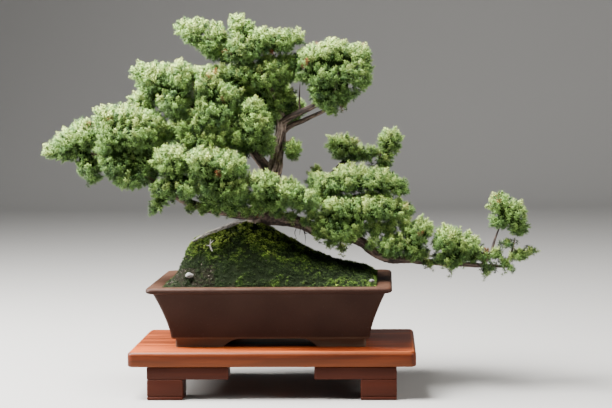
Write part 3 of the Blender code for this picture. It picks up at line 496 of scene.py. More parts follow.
# %% Cut the feet and the drainage holes
def foot_gap(top_half, bottom_half, length, along_x):
    """A cutter between two bracket feet, drawn up in steps so that its ends sweep in an S."""
    deselect()
    bpy.ops.mesh.primitive_plane_add(size=1.0, location=(0, 0, 0))
    cutter = bpy.context.object
    cutter.scale = (2 * bottom_half, length, 1)
    cutter.location = (pot_middle.x, pot_middle.y, pot_low.z - 0.003)
    settle(cutter)
    bpy.ops.object.mode_set(mode="EDIT")
    bpy.ops.mesh.select_all(action="SELECT")
    bpy.ops.mesh.extrude_region_move(TRANSFORM_OT_translate={"value": (0, 0, 0.003)})
    height, width = 0.0, bottom_half
    for rise in (0.15, 0.32, 0.50, 0.66, 0.79, 0.89, 0.96, 1.0):
        step = rise * (FOOT_HEIGHT - 0.0012) - height
        height += step
        bpy.ops.mesh.extrude_region_move(TRANSFORM_OT_translate={"value": (0, 0, step)})
        narrower = bottom_half + (top_half - bottom_half) * (1 - (1 - rise) ** 0.6)
        bpy.ops.transform.resize(
            value=(narrower / width, 1, 1), center_override=(pot_middle.x, pot_middle.y, 0)
        )
        width = narrower
    if along_x:
        bpy.ops.mesh.select_all(action="SELECT")
        bpy.ops.transform.rotate(
            value=math.radians(90), orient_axis="Z",
            center_override=(pot_middle.x, pot_middle.y, pot_low.z),
        )
    bpy.ops.mesh.select_all(action="SELECT")
    bpy.ops.mesh.normals_make_consistent(inside=False)
    bpy.ops.object.mode_set(mode="OBJECT")
    return cutter


def cut_away(piece, cutter):
    finish_with(piece, "BOOLEAN", object=cutter, operation="DIFFERENCE", solver="EXACT")
    bpy.data.objects.remove(cutter)


cut_away(pot, foot_gap(0.0485, 0.0720, 0.4, False))
cut_away(pot, foot_gap(0.0280, 0.0500, 0.5, True))
FOOT_RING = 0.0530
DRAIN_HOLE_RADIUS = 0.0095
DRAIN_HOLE_FROM_MIDDLE = 0.070
hollow = block_from("pot", "foot_hollow")[0]
for corner in hollow.data.vertices:
    top = corner.co.z > pot_middle.z
    corner.co = pot_middle + Vector(
        (math.copysign(half.x - FOOT_RING, corner.co.x - pot_middle.x),
         math.copysign(half.y - FOOT_RING, corner.co.y - pot_middle.y), 0)
    )
    corner.co.z = pot_low.z + (FOOT_HEIGHT - 0.001 if top else -0.004)
cut_away(pot, hollow)
for side_x in (-1, 1):
    deselect()
    bpy.ops.mesh.primitive_cylinder_add(
        vertices=32, radius=DRAIN_HOLE_RADIUS, depth=0.05, location=(
            pot_middle.x + side_x * DRAIN_HOLE_FROM_MIDDLE, pot_middle.y, pot_low.z + FOOT_HEIGHT
        ),
    )
    cut_away(pot, bpy.context.object)
soft_shading(pot, 38)
print("pot faces:", len(pot.data.polygons))


# %% [markdown]
# Unglazed clay is matt, with a fine sandy grain, small dark specks of iron and a cloudy change of
# colour from the kiln. The flat top of the rim is paler in patches, partly dust and partly painted
# light where the light falls on it. The feet are painted paler, as painted bounce light from the
# board. The height mask separates the rim and the feet from the wall.

# %% Fire the clay
def clay_material():
    material, tree, shader = new_material("unglazed brown clay", 0.62)
    where = stretched(tree, (1, 1, 1))
    cloud = noise_of(tree, where, 9.0, 3.0)
    sand = noise_of(tree, where, 900.0, 2.0)
    speck = noise_of(tree, where, 420.0, 1.0)
    colour = ramp(tree, cloud, (0.30, (0.018, 0.0055, 0.0024)), (0.70, (0.027, 0.0090, 0.0042)))
    grain = ramp(tree, sand, (0.32, (0.80, 0.80, 0.80)), (0.68, (1.16, 1.16, 1.16)))
    colour = blend_colours(tree, 1.0, colour, grain, "MULTIPLY")
    spots = ramp(tree, speck, (0.26, (1, 1, 1)), (0.31, (0, 0, 0)))
    colour = blend_colours(tree, spots, colour, (0.030, 0.016, 0.012))
    # The flat top of the rim is paler in patches: partly dust, partly painted light on the lit top.
    rim = height_mask(tree, pot_high.z - 0.0030, pot_high.z - 0.0003)
    dust_and_light_patches = noise_of(tree, where, 60.0, 5.0)
    dust_and_light_patches = ramp(tree, dust_and_light_patches, (0.30, (0.10, 0.10, 0.10)), (0.75, (0.55, 0.55, 0.55)))
    dust_and_lit_rim = blend_colours(tree, rim, (0, 0, 0), dust_and_light_patches)
    colour = blend_colours(tree, dust_and_lit_rim, colour, (0.12, 0.062, 0.038))
    # Painted light: the feet are painted paler, as light bounced up from the board.
    bounce_lit_feet = height_mask(tree, pot_low.z + 0.0165, pot_low.z + 0.0140)
    painted_bounce_light = blend_colours(tree, bounce_lit_feet, (0, 0, 0), (0.75, 0.75, 0.75))
    colour = blend_colours(tree, painted_bounce_light, colour, (0.110, 0.068, 0.044))
    shader.inputs["Specular IOR Level"].default_value = 0.14
    tree.links.new(colour, shader.inputs["Base Color"])
    rough = ramp(tree, cloud, (0.3, (0.66, 0.66, 0.66)), (0.7, (0.52, 0.52, 0.52)))
    tree.links.new(rough, shader.inputs["Roughness"])
    bump_from(tree, shader, sand, 0.00025, 0.8)
    return material


hand_over(pot, clay_material(), "pot_clay", "pot")


# %% [markdown]
# ## The inside of the pot
# Mesh squares keep the soil in over the drainage holes, and bent wires pin them down. They and the
# soil are inside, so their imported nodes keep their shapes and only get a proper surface.

# %% Surfaces for the hidden pieces
def dress_node(node, material):
    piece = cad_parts[node]
    piece.data.materials.clear()
    piece.data.materials.append(material)


def speckled_material(name, dark, light, scale, roughness):
    material, tree, shader = new_material(name, roughness)
    grain = noise_of(tree, stretched(tree, (1, 1, 1)), scale, 4.0)
    tree.links.new(ramp(tree, grain, (0.35, dark), (0.65, light)), shader.inputs["Base Color"])
    bump_from(tree, shader, grain, 0.0004)
    return material


soil_surface = speckled_material(
    "damp soil", (0.012, 0.008, 0.005), (0.060, 0.038, 0.024), 500.0, 0.95
)
mesh_plastic = speckled_material(
    "screen plastic", (0.010, 0.026, 0.016), (0.020, 0.044, 0.028), 900.0, 0.55
)
copper_wire = speckled_material(
    "annealed copper wire", (0.20, 0.085, 0.045), (0.34, 0.15, 0.08), 700.0, 0.4
)
set_finish(copper_wire, "Metallic", 1.0)
dress_node("soil", soil_surface)
for side in ("left", "right"):
    dress_node("drainage_screen_" + side, mesh_plastic)
    dress_node("screen_clip_" + side, copper_wire)


# %% [markdown]
# ## The mossy mound
# The tree is planted on a mound: steep on the left, falling away slowly to the right. Its height is
# the crest line from left to right, times a dome from front to back. A fine grid is raised to that
# height, and two sizes of lumps are added: cushions of moss, and the grain on each cushion.

# %% Raise the mound
# The crest from left to right: x from the middle of the stand, and height above the rim.
CREST = (
    (-0.162, 0.000), (-0.148, 0.010), (-0.143, 0.034), (-0.130, 0.062), (-0.110, 0.071),
    (-0.080, 0.080), (-0.055, 0.089), (-0.030, 0.092), (-0.010, 0.083), (0.012, 0.068),
    (0.030, 0.060), (0.055, 0.044), (0.080, 0.034), (0.110, 0.026), (0.140, 0.019), (0.162, 0.004),
)
CREST_Y = 0.012
crest_x, crest_z = np.array(CREST).T
opening_low = pot_low + Vector((RIM_WIDTH, RIM_WIDTH, 0))
opening_high = pot_high - Vector((RIM_WIDTH, RIM_WIDTH, 0))


def mound_top(x, y):
    """World height of the bare mound at arrays of world x and y."""
    x, y = x - stand_middle.x, y - stand_middle.y
    front, back = opening_low.y - stand_middle.y, opening_high.y - stand_middle.y
    reach = np.where(y > CREST_Y, back - CREST_Y, CREST_Y - front)
    dome = np.clip(1.0 - ((y - CREST_Y) / reach) ** 2, 0.0, 1.0)
    crest = sum(np.interp(x + dx, crest_x, crest_z) for dx in (-0.006, 0.0, 0.006)) / 3
    return pot_high.z - 0.0015 + crest * dome


def lumps(points, size, seed):
    """Rounded lumps of about this size: 0 in the creases between them and near 1 on top."""
    offset = Vector((seed * 7.1, seed * 3.7, seed * 1.9))
    heights = []
    for point in points:
        near = noise.voronoi(Vector(point) / size + offset)[0]
        heights.append(min(1.0, (near[1] - near[0]) * 1.9))
    return np.array(heights)


def clouds(points, size, seed):
    offset = Vector((seed * 5.3, seed * 2.9, seed * 8.1))
    return np.array([noise.noise(Vector(point) / size + offset) for point in points])


MOSS_COLUMNS, MOSS_ROWS = 210, 150
MOSS_THICKNESS = 0.004
deselect()
bpy.ops.mesh.primitive_grid_add(
    x_subdivisions=MOSS_COLUMNS, y_subdivisions=MOSS_ROWS, size=1.0,
    location=((opening_low.x + opening_high.x) / 2, (opening_low.y + opening_high.y) / 2, 0),
)
moss = bpy.context.object
moss.name = "moss_carpet"
moss.scale = (opening_high.x - opening_low.x - 0.001, opening_high.y - opening_low.y - 0.001, 1)
settle(moss)
ground = np.array([corner.co[:] for corner in moss.data.vertices])
ground[:, 2] = mound_top(ground[:, 0], ground[:, 1])
edge = np.minimum.reduce([
    ground[:, 0] - opening_low.x, opening_high.x - ground[:, 0],
    ground[:, 1] - opening_low.y, opening_high.y - ground[:, 1],
])
cushion = lumps(ground, 0.016, 1)
small_cushion = lumps(ground, 0.0065, 2)
grain = clouds(ground, 0.0028, 3)
patchy = clouds(ground, 0.030, 4) + 0.5 * clouds(ground, 0.012, 5)
relief = (
    0.0034 * cushion**0.6 + 0.0018 * small_cushion + 0.0014 * grain + 0.0022 * patchy - 0.0024
)
ground[:, 2] += relief * np.clip(edge / 0.006, 0.15, 1.0)
for corner, point in zip(moss.data.vertices, ground):
    corner.co = point
moss.data.update()
slope = np.array([corner.normal[:] for corner in moss.data.vertices])
print("moss corners:", len(ground), "highest:", round(float(ground[:, 2].max()), 4))

# %% [markdown]
# Where the mound is steep on its shaded lower left, rain has washed the moss thin: dark soil shows,
# with grit and fine roots. Three values are stored on the corners of the mesh for the material:
# how deep in a crease they are, which darkens the moss there as painted shade; how bare of moss;
# and how much painted light falls there, most on the hilltop, a little by the rim, less on steep
# slopes, and patchy. The carpet is then given a thickness, so that it is a closed skin.

# %% Finish the carpet of moss
def store(piece, name, values):
    layer = piece.data.attributes.new(name, "FLOAT", "POINT")
    layer.data.foreach_set("value", np.clip(values, 0.0, 1.0).astype(np.float32))


steep = 1.0 - slope[:, 2]
low_share = 1.0 - np.clip((ground[:, 2] - pot_high.z) / 0.055, 0.0, 1.0)
left_share = np.clip((stand_middle.x - 0.015 - ground[:, 0]) / 0.10, 0.0, 1.0)
rim_strip = np.clip(1.0 - edge / 0.016, 0.0, 1.0)
hilltop = np.clip((ground[:, 2] - pot_high.z - 0.030) / 0.055, 0.0, 1.0)
bare = np.clip(1.2 * low_share * (0.35 + 0.9 * left_share) + 0.9 * patchy - 0.45, 0.0, 1.0)
bare *= 1.0 - 0.8 * rim_strip * (left_share < 0.4)
crease = 1.0 - (cushion**0.7 * 0.75 + 0.25 * small_cushion)
# Painted light on the moss: lighter on the hilltop and by the rim, darker on steep slopes, and
# patchy.
moss_painted_light = np.clip(
    0.20 + 0.95 * hilltop + 0.10 * rim_strip + 0.60 * patchy - 0.15 * steep, 0.0, 1.0
)
store(moss, "crease", crease)
store(moss, "bare", bare)
store(moss, "moss_painted_light", moss_painted_light)
finish_with(moss, "SOLIDIFY", thickness=MOSS_THICKNESS, offset=-1.0)
soft_shading(moss, 60)


def moss_material():
    material, tree, shader = new_material("moss carpet", 0.95)
    where = stretched(tree, (1, 1, 1))
    fine = noise_of(tree, where, 1400.0, 2.0)
    # The green is painted lighter where more painted light falls.
    green = ramp(tree, attribute(tree, "moss_painted_light"), (0.15, (0.004, 0.009, 0.002)),
                 (0.55, (0.011, 0.026, 0.003)), (0.95, (0.036, 0.068, 0.006)))
    texture = ramp(tree, fine, (0.30, (0.45, 0.45, 0.45)), (0.66, (1.25, 1.25, 1.25)))
    green = blend_colours(tree, 1.0, green, texture, "MULTIPLY")
    # Painted shade: the moss is darkened in the creases between its cushions.
    shade = ramp(tree, attribute(tree, "crease"), (0.25, (0, 0, 0)), (0.75, (0.92, 0.92, 0.92)))
    green = blend_colours(tree, shade, green, (0.006, 0.010, 0.003))
    earth = ramp(tree, noise_of(tree, where, 620.0, 4.0), (0.40, (0.004, 0.004, 0.002)),
                 (0.62, (0.016, 0.015, 0.008)), (0.76, (0.11, 0.095, 0.075)))
    washed = ramp(tree, attribute(tree, "bare"), (0.28, (0, 0, 0)), (0.55, (1, 1, 1)))
    colour = blend_colours(tree, washed, green, earth)
    tree.links.new(colour, shader.inputs["Base Color"])
    bump_from(tree, shader, fine, 0.0012)
    shader.inputs["Specular IOR Level"].default_value = 0.1
    return material


hand_over(moss, moss_material(), "moss", "moss")


# %% [markdown]
# ## Copies by the thousand
# Moss leaves and juniper needles are far too many to place by hand. One is modelled, and arrays of
# places, turns and sizes make the copies in one step. Each copy also gets a spot on a small palette:
# across it runs the tone of the green, and up it runs from the shaded foot of a leaf to its tip. The
# palette is a map named OFBake, and the leaf materials read nothing but this map.

# %% Tools for copies
def mesh_arrays(piece):
    points = np.array([corner.co[:] for corner in piece.data.vertices])
    faces = np.array([face.vertices[:] for face in piece.data.polygons])
    return points, faces


def turns_towards(directions, rolls):
    """Rotation matrices that point +Z along each direction, rolled about it."""
    ahead = directions / np.linalg.norm(directions, axis=1)[:, None]
    helper = np.where(np.abs(ahead[:, 2:3]) > 0.9, [[1.0, 0, 0]], [[0, 0, 1.0]])
    side = np.cross(helper, ahead)
    side /= np.linalg.norm(side, axis=1)[:, None]
    up = np.cross(ahead, side)
    cos, sin = np.cos(rolls)[:, None], np.sin(rolls)[:, None]
    return np.stack([side * cos + up * sin, up * cos - side * sin, ahead], axis=2)


def copies(name, points, faces, tips, spots, turns, sizes, tones, heights):
    """One mesh of many copies. tips is 0 at the foot and 1 at the tip of each pattern corner."""
    count = len(spots)
    placed = spots[:, None, :] + sizes[:, None, None] * np.einsum("nij,pj->npi", turns, points)
    every_face = (faces[None] + (np.arange(count) * len(points))[:, None, None]).reshape(-1, 3)
    mesh = bpy.data.meshes.new(name)
    mesh.vertices.add(count * len(points))
    mesh.vertices.foreach_set("co", placed.reshape(-1).astype(np.float32))
    mesh.loops.add(every_face.size)
    mesh.loops.foreach_set("vertex_index", every_face.reshape(-1).astype(np.int32))
    mesh.polygons.add(len(every_face))
    mesh.polygons.foreach_set("loop_start", np.arange(0, every_face.size, 3, dtype=np.int32))
    palette = mesh.uv_layers.new(name="OFBake")
    corner_shift = np.tile(np.array([-0.004, 0.0, 0.004]), len(faces))
    across = tones[:, None] + corner_shift[None]
    upward = 0.52 * heights[:, None] + 0.46 * tips[faces.reshape(-1)][None]
    uv = np.stack([across, upward], axis=2).reshape(-1)
    palette.data.foreach_set("uv", np.clip(uv, 0.005, 0.995).astype(np.float32))
    mesh.update(calc_edges=True)
    piece = bpy.data.objects.new(name, mesh)
    bpy.context.scene.collection.objects.link(piece)
    return piece


def palette_material(name, foot_colours, tip_colours, roughness):
    """Tone picks a colour along both ramps, and the height on the palette blends foot to tip."""
    material, tree, shader = new_material(name, roughness)
    palette = tree.nodes.new("ShaderNodeUVMap")
    palette.uv_map = "OFBake"
    split = tree.nodes.new("ShaderNodeSeparateXYZ")
    tree.links.new(palette.outputs["UV"], split.inputs["Vector"])
    foot = ramp(tree, split.outputs["X"], *foot_colours)
    tip = ramp(tree, split.outputs["X"], *tip_colours)
    rise = ramp(
        tree, split.outputs["Y"], (0.12, (0, 0, 0)), (0.55, (0.32, 0.32, 0.32)), (0.95, (1, 1, 1))
    )
    tree.links.new(blend_colours(tree, rise, foot, tip), shader.inputs["Base Color"])
    return material


# %% [markdown]
# A tuft of moss is four pointed leaves that spread like a star. A leaf is a three-sided cone drawn
# flat. Tufts stand on the cushions, closer where the moss is thick, and are few and dark on the
# bare soil, where grit lies between them. A crumb of grit is a lump of twenty faces.

# %% Grow the tufts of moss
def pointed_leaf(name, length, width, thickness):
    """A closed leaf of four faces from the origin along +Z."""
    deselect()
    bpy.ops.mesh.primitive_cone_add(
        vertices=3, radius1=0.5, radius2=0.0, depth=1.0, location=(0, 0, 0.5)
    )
    leaf = bpy.context.object
    leaf.name = name
    settle(leaf)
    leaf.scale = (width, thickness, length)
    settle(leaf)
    return leaf


def star_of(leaf, count, lean, seed):
    """A joined star of leaves that lean out from +Z."""
    random = np.random.default_rng(seed)
    stars = []
    for number in range(count):
        take(leaf)
        bpy.ops.object.duplicate()
        copy = bpy.context.object
        azimuth = 2 * math.pi * number / count + random.uniform(-0.3, 0.3)
        tilt = lean * random.uniform(0.6, 1.2)
        matrix = Matrix.Rotation(azimuth, 4, "Z") @ Matrix.Rotation(tilt, 4, "Y")
        copy.data.transform(matrix @ Matrix.Scale(random.uniform(0.8, 1.15), 4))
        stars.append(copy)
    bpy.data.objects.remove(leaf)
    return joined(stars)


MOSS_LEAF = (0.0029, 0.0012, 0.0006)
TUFT_COUNT = 12000
TURN = 6.28
tuft = star_of(pointed_leaf("moss_leaf", *MOSS_LEAF), count=4, lean=0.80, seed=11)
tuft_points, tuft_faces = mesh_arrays(tuft)
bpy.data.objects.remove(tuft)
tuft_tips = np.clip(tuft_points[:, 2] / tuft_points[:, 2].max(), 0, 1)

random = np.random.default_rng(21)
share_of = (1.0 + steep * 1.2) * (1.0 - 0.70 * bare)
crowd = random.choice(len(ground), size=30000, p=share_of / share_of.sum())
thick = (crease[crowd] < 0.68) & (edge[crowd] > 0.0004)
crowd = crowd[thick][:TUFT_COUNT]
spots = ground[crowd] + random.normal(0, 0.0006, (len(crowd), 3)) * (1, 1, 0.2)
normals = slope[crowd]
leaning = normals * 0.8 + (0, 0, 0.5) + random.normal(0, 0.25, normals.shape)
# Each tuft's tone and its place up the palette follow the painted light on the hilltop and the
# painted shade in the creases.
tufts = copies(
    "moss_tufts", tuft_points, tuft_faces, tuft_tips, spots - normals * 0.0005,
    turns_towards(leaning, random.uniform(0, TURN, len(crowd))),
    random.uniform(0.7, 1.25, len(crowd)),
    np.clip(moss_painted_light[crowd] - 0.3 * bare[crowd] + random.normal(0, 0.12, len(crowd)), 0.03, 0.97),
    np.clip(
        0.36 + 0.50 * moss_painted_light[crowd] - 0.50 * crease[crowd] - 0.5 * bare[crowd]
        + random.normal(0, 0.32, len(crowd)), 0.01, 1.0,
    ),
)
moss_leaves = palette_material(
    "moss leaves",
    ((0.10, (0.003, 0.006, 0.001)), (0.90, (0.009, 0.019, 0.002))),
    ((0.10, (0.048, 0.095, 0.016)), (0.55, (0.170, 0.300, 0.032)), (0.95, (0.560, 0.740, 0.115))),
    0.7,
)
set_finish(moss_leaves, "Specular IOR Level", 0.15)
hand_over(tufts, moss_leaves, "moss")
print("tufts:", len(crowd), "triangles:", len(tufts.data.polygons))

deselect()
bpy.ops.mesh.primitive_ico_sphere_add(subdivisions=1, radius=1.0, location=(0, 0, 0))
crumb = bpy.context.object
crumb.data.transform(Matrix.Diagonal((1.0, 0.75, 0.6, 1.0)))
crumb_points, crumb_faces = mesh_arrays(crumb)
bpy.data.objects.remove(crumb)
gritty = random.choice(len(ground), size=700, p=bare**2 / (bare**2).sum())
gritty = gritty[edge[gritty] > 0.002]
# Painted light: each crumb of grit is lighter on top and darker at its foot.
grit = copies(
    "grit_on_the_bare_soil", crumb_points, crumb_faces, np.clip(crumb_points[:, 2] / 0.6, 0, 1),
    ground[gritty] + slope[gritty] * 0.0003,
    turns_towards(
        slope[gritty] + random.normal(0, 0.3, (len(gritty), 3)),
        random.uniform(0, TURN, len(gritty)),
    ),
    0.0005 + 0.0012 * random.random(len(gritty)) ** 2,
    random.uniform(0.03, 0.97, len(gritty)),
    random.uniform(0.0, 1.0, len(gritty)),
)
grit_surface = palette_material(
    "grit", ((0.10, (0.008, 0.006, 0.004)), (0.90, (0.035, 0.026, 0.018))),
    ((0.10, (0.030, 0.022, 0.014)), (0.80, (0.10, 0.080, 0.060)), (0.95, (0.34, 0.30, 0.26))), 0.9,
)
hand_over(grit, grit_surface, "soil")
print("grit:", len(gritty), "triangles:", len(grit.data.polygons))


# %% [markdown]
# ## Bark, branches and dead wood
# Every limb is a curve with its own thickness at each point, made into a mesh and then given bark.
# Bark splits along the limb, so its ridges are long in one direction and narrow in the other. The
# relief is worked out from how far along and how far round the limb each corner lies, and the same
# value is stored as ridge, so that the colour is pale on the flakes and dark in the furrows.

# %% Make a limb with bark
def limb_mesh(name, route, sides=24, spacing=0.0016):
    """A round closed limb through (x, y, z, radius) points given from the stand's middle."""
    length = sum((Vector(a[:3]) - Vector(b[:3])).length for a, b in zip(route, route[1:]))
    deselect()
    bpy.ops.curve.primitive_bezier_curve_add(location=(0, 0, 0))
    guide = bpy.context.object
    guide.name = name
    curve = guide.data
    curve.dimensions = "3D"
    curve.bevel_depth = 1.0
    curve.bevel_resolution = sides // 2 - 2
    curve.use_fill_caps = True
    curve.resolution_u = max(4, int(length / spacing / (len(route) - 1)))
    *most, last = route
    route = (*most, (*last[:3], last[3] * 0.4))
    spline = curve.splines[0]
    spline.bezier_points.add(len(route) - 2)
    for point, (x, y, z, radius) in zip(spline.bezier_points, route):
        point.co = place(x, y, z)
        point.radius = radius
        point.handle_left_type = "AUTO"
        point.handle_right_type = "AUTO"
    bpy.ops.object.convert(target="MESH")
    piece = bpy.context.object
    bpy.ops.object.mode_set(mode="EDIT")
    bpy.ops.mesh.select_all(action="SELECT")
    bpy.ops.mesh.remove_doubles(threshold=0.00002)
    bpy.ops.mesh.normals_make_consistent(inside=False)
    bpy.ops.object.mode_set(mode="OBJECT")
    return piece


def spine(route, steps=400):
    """Points, radii and lengths along the middle of a limb."""
    given = np.array([(*place(x, y, z), radius) for x, y, z, radius in route])
    gaps = np.linalg.norm(np.diff(given[:, :3], axis=0), axis=1)
    along = np.concatenate([[0], np.cumsum(gaps)])
    fine = np.linspace(0, along[-1], steps)
    dense = np.stack([np.interp(fine, along, given[:, i]) for i in range(4)], axis=1)
    return dense[:, :3], dense[:, 3], fine


def add_bark(piece, route, depth, flake, seed):
    """Pushes the surface in and out along long flakes, and stores the ridges for the colour."""
    middle, radii, along = spine(route)
    points = np.array([corner.co[:] for corner in piece.data.vertices])
    nearest = np.array([np.argmin(((middle - point) ** 2).sum(1)) for point in points])
    outward = points - middle[nearest]
    size = np.linalg.norm(outward, axis=1)
    outward /= np.maximum(size, 1e-6)[:, None]
    far = along[nearest]
    radius = radii[nearest]
    ridge, knots = [], []
    for way, distance, thick in zip(outward, far, radius):
        spot = Vector(way) * (thick / flake) + Vector((0, 0, distance / (flake * 7.0) + seed))
        ridge.append(noise.fractal(spot, 0.7, 2.2, 3) + 0.55 * noise.noise(spot * 3.1))
        knots.append(noise.noise(Vector(way) * 0.9 + Vector((seed, distance * 38.0, 0))))
    ridge, knots = np.array(ridge), np.array(knots)
    height = depth * np.clip(ridge, -0.9, 0.9) + 0.16 * radius * knots
    points += outward * np.minimum(height, radius * 0.45)[:, None]
    for corner, point in zip(piece.data.vertices, points):
        corner.co = point
    store(piece, "ridge", 0.5 + 0.5 * ridge)
    store(piece, "knot", 0.5 + 0.5 * knots)


def bark_material(name, furrow, body, flake, old_wood, roughness=0.85):
    material, tree, shader = new_material(name, roughness)
    where = stretched(tree, (1, 1, 1))
    ridge = attribute(tree, "ridge")
    colour = ramp(tree, ridge, (0.24, furrow), (0.48, body), (0.78, flake))
    dirt = noise_of(tree, where, 240.0, 5.0)
    dirt = ramp(tree, dirt, (0.34, (0.62, 0.60, 0.58)), (0.66, (1.25, 1.22, 1.2)))
    colour = blend_colours(tree, 0.9, colour, dirt, "MULTIPLY")
    peeled = ramp(tree, attribute(tree, "knot"), (0.66, (0, 0, 0)), (0.76, (0.8, 0.8, 0.8)))
    colour = blend_colours(tree, peeled, colour, old_wood)
    tree.links.new(colour, shader.inputs["Base Color"])
    bump_from(tree, shader, noise_of(tree, where, 700.0, 4.0), 0.0005)
    return material


trunk_bark = bark_material(
    "flaking trunk bark", (0.030, 0.020, 0.015), (0.145, 0.100, 0.078), (0.340, 0.265, 0.225),
    (0.52, 0.43, 0.36),
)
branch_bark = bark_material(
    "dark branch bark", (0.010, 0.006, 0.005), (0.040, 0.025, 0.019), (0.125, 0.085, 0.066),
    (0.20, 0.14, 0.11),
)
silver_wood = bark_material(
    "silver dead wood", (0.14, 0.12, 0.11), (0.36, 0.33, 0.32), (0.60, 0.57, 0.56),
    (0.62, 0.60, 0.60), 0.7,
)

# %% [markdown]
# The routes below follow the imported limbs. The trunk leans right, then doubles back to the left at
# the top. The longest branch leaves the trunk low down and cascades past the edge of the pot.

# %% Grow the trunk and branches
ROUTES = {
    "trunk": (
        (-0.030, 0.018, 0.236, 0.0250), (-0.027, 0.018, 0.256, 0.0195),
        (-0.020, 0.018, 0.280, 0.0165), (-0.010, 0.018, 0.306, 0.0150),
        (-0.002, 0.018, 0.333, 0.0125), (0.005, 0.018, 0.367, 0.0095),
        (0.010, 0.018, 0.398, 0.0080), (0.009, 0.018, 0.422, 0.0072), (0.000, 0.018, 0.448, 0.0062),
        (-0.014, 0.018, 0.473, 0.0052), (-0.029, 0.018, 0.495, 0.0042),
        (-0.045, 0.016, 0.519, 0.0030),
    ),
    "branch_right_cascade": (
        (-0.022, 0.012, 0.262, 0.0110), (0.004, 0.000, 0.262, 0.0105),
        (0.040, -0.014, 0.256, 0.0095), (0.071, -0.020, 0.242, 0.0085),
        (0.103, -0.020, 0.234, 0.0078), (0.130, -0.022, 0.229, 0.0075),
        (0.152, -0.024, 0.213, 0.0070), (0.175, -0.024, 0.201, 0.0062),
        (0.205, -0.022, 0.199, 0.0052), (0.254, -0.020, 0.194, 0.0042),
        (0.314, -0.020, 0.190, 0.0034), (0.362, -0.020, 0.187, 0.0024),
    ),
    "branch_left_low": (
        (-0.022, 0.010, 0.270, 0.0100), (-0.046, -0.012, 0.270, 0.0085),
        (-0.074, -0.026, 0.275, 0.0070), (-0.112, -0.034, 0.284, 0.0060),
        (-0.146, -0.038, 0.299, 0.0052), (-0.187, -0.038, 0.325, 0.0042),
        (-0.246, -0.034, 0.356, 0.0032), (-0.306, -0.030, 0.372, 0.0020),
    ),
    "branch_left_fork": (
        (-0.006, 0.018, 0.326, 0.0090), (-0.020, 0.014, 0.349, 0.0078),
        (-0.038, 0.008, 0.371, 0.0068), (-0.074, -0.002, 0.407, 0.0056),
        (-0.128, -0.012, 0.440, 0.0044), (-0.173, -0.015, 0.463, 0.0028),
    ),
    "branch_right_upper": (
        (0.010, 0.016, 0.410, 0.0062), (0.030, 0.010, 0.421, 0.0050), (0.056, 0.004, 0.432, 0.0044),
        (0.079, 0.000, 0.446, 0.0040), (0.095, -0.002, 0.464, 0.0034),
        (0.099, -0.002, 0.488, 0.0024),
    ),
    "branch_right_bare": (
        (0.009, 0.018, 0.392, 0.0052), (0.027, 0.024, 0.406, 0.0040), (0.043, 0.026, 0.412, 0.0036),
        (0.060, 0.026, 0.420, 0.0032), (0.076, 0.024, 0.427, 0.0028), (0.098, 0.018, 0.441, 0.0018),
    ),
    "branch_apex": (
        (-0.041, 0.017, 0.512, 0.0036), (-0.062, 0.012, 0.524, 0.0032),
        (-0.090, 0.008, 0.536, 0.0026), (-0.120, 0.005, 0.546, 0.0018),
    ),
    "branch_right_middle": (
        (-0.012, 0.014, 0.298, 0.0070), (0.018, 0.004, 0.288, 0.0060),
        (0.056, -0.004, 0.288, 0.0052), (0.108, -0.006, 0.294, 0.0042),
        (0.160, -0.006, 0.300, 0.0028),
    ),
    "branch_back_right": (
        (-0.014, 0.024, 0.302, 0.0062), (0.026, 0.050, 0.293, 0.0052),
        (0.062, 0.070, 0.301, 0.0046), (0.092, 0.083, 0.332, 0.0040), (0.112, 0.086, 0.350, 0.0034),
        (0.140, 0.094, 0.352, 0.0030), (0.172, 0.097, 0.364, 0.0020),
    ),
    "branch_back_left": (
        (0.004, 0.022, 0.360, 0.0060), (-0.012, 0.052, 0.374, 0.0050),
        (-0.050, 0.082, 0.392, 0.0042), (-0.100, 0.094, 0.404, 0.0028),
    ),
    "twig_cascade_inner": (
        (0.318, -0.020, 0.191, 0.0026), (0.330, -0.022, 0.208, 0.0022),
        (0.338, -0.022, 0.232, 0.0018), (0.350, -0.020, 0.262, 0.0012),
    ),
    "twig_cascade_outer": (
        (0.350, -0.020, 0.188, 0.0022), (0.361, -0.018, 0.206, 0.0018),
        (0.368, -0.018, 0.232, 0.0012),
    ),
    "twig_right_upper": (
        (0.040, 0.007, 0.427, 0.0018), (0.0395, 0.006, 0.445, 0.0015),
        (0.041, 0.004, 0.470, 0.0010),
    ),
}
for number, (name, route) in enumerate(ROUTES.items()):
    thick = max(radius for *_, radius in route)
    sides = 48 if name == "trunk" else (28 if thick > 0.005 else 14)
    spacing = 0.0018 if name == "trunk" else (0.0026 if thick > 0.005 else 0.004)
    limb = limb_mesh(name + "_bark", route, sides, spacing)
    add_bark(limb, route, 0.085 * thick, 0.0045 if name == "trunk" else 0.0022, 3.7 * number + 1)
    soft_shading(limb, 60)
    hand_over(limb, trunk_bark if name == "trunk" else branch_bark, "juniper_bark", name)
    print(name, len(limb.data.polygons))


# %% [markdown]
# ## What lies on the moss
# A dead root, bleached silver, lies over the crest on the left. A forked dead twig leans on the
# front slope, and two pebbles rest at the rim. The root and twig are limbs like the others, with a
# cracked surface, and a pebble is a ball of triangles that is dented and flattened.

# %% Lay the root, the twig and the pebbles
def lie_on_moss(trail):
    """Turns (x, y, radius) points into a route that rests on the mound."""
    route = []
    for x, y, radius in trail:
        spot = place(x, y, 0)
        ground_z = float(mound_top(np.array([spot.x]), np.array([spot.y]))[0])
        route.append((x, y, ground_z + radius + 0.0016, radius))
    return route


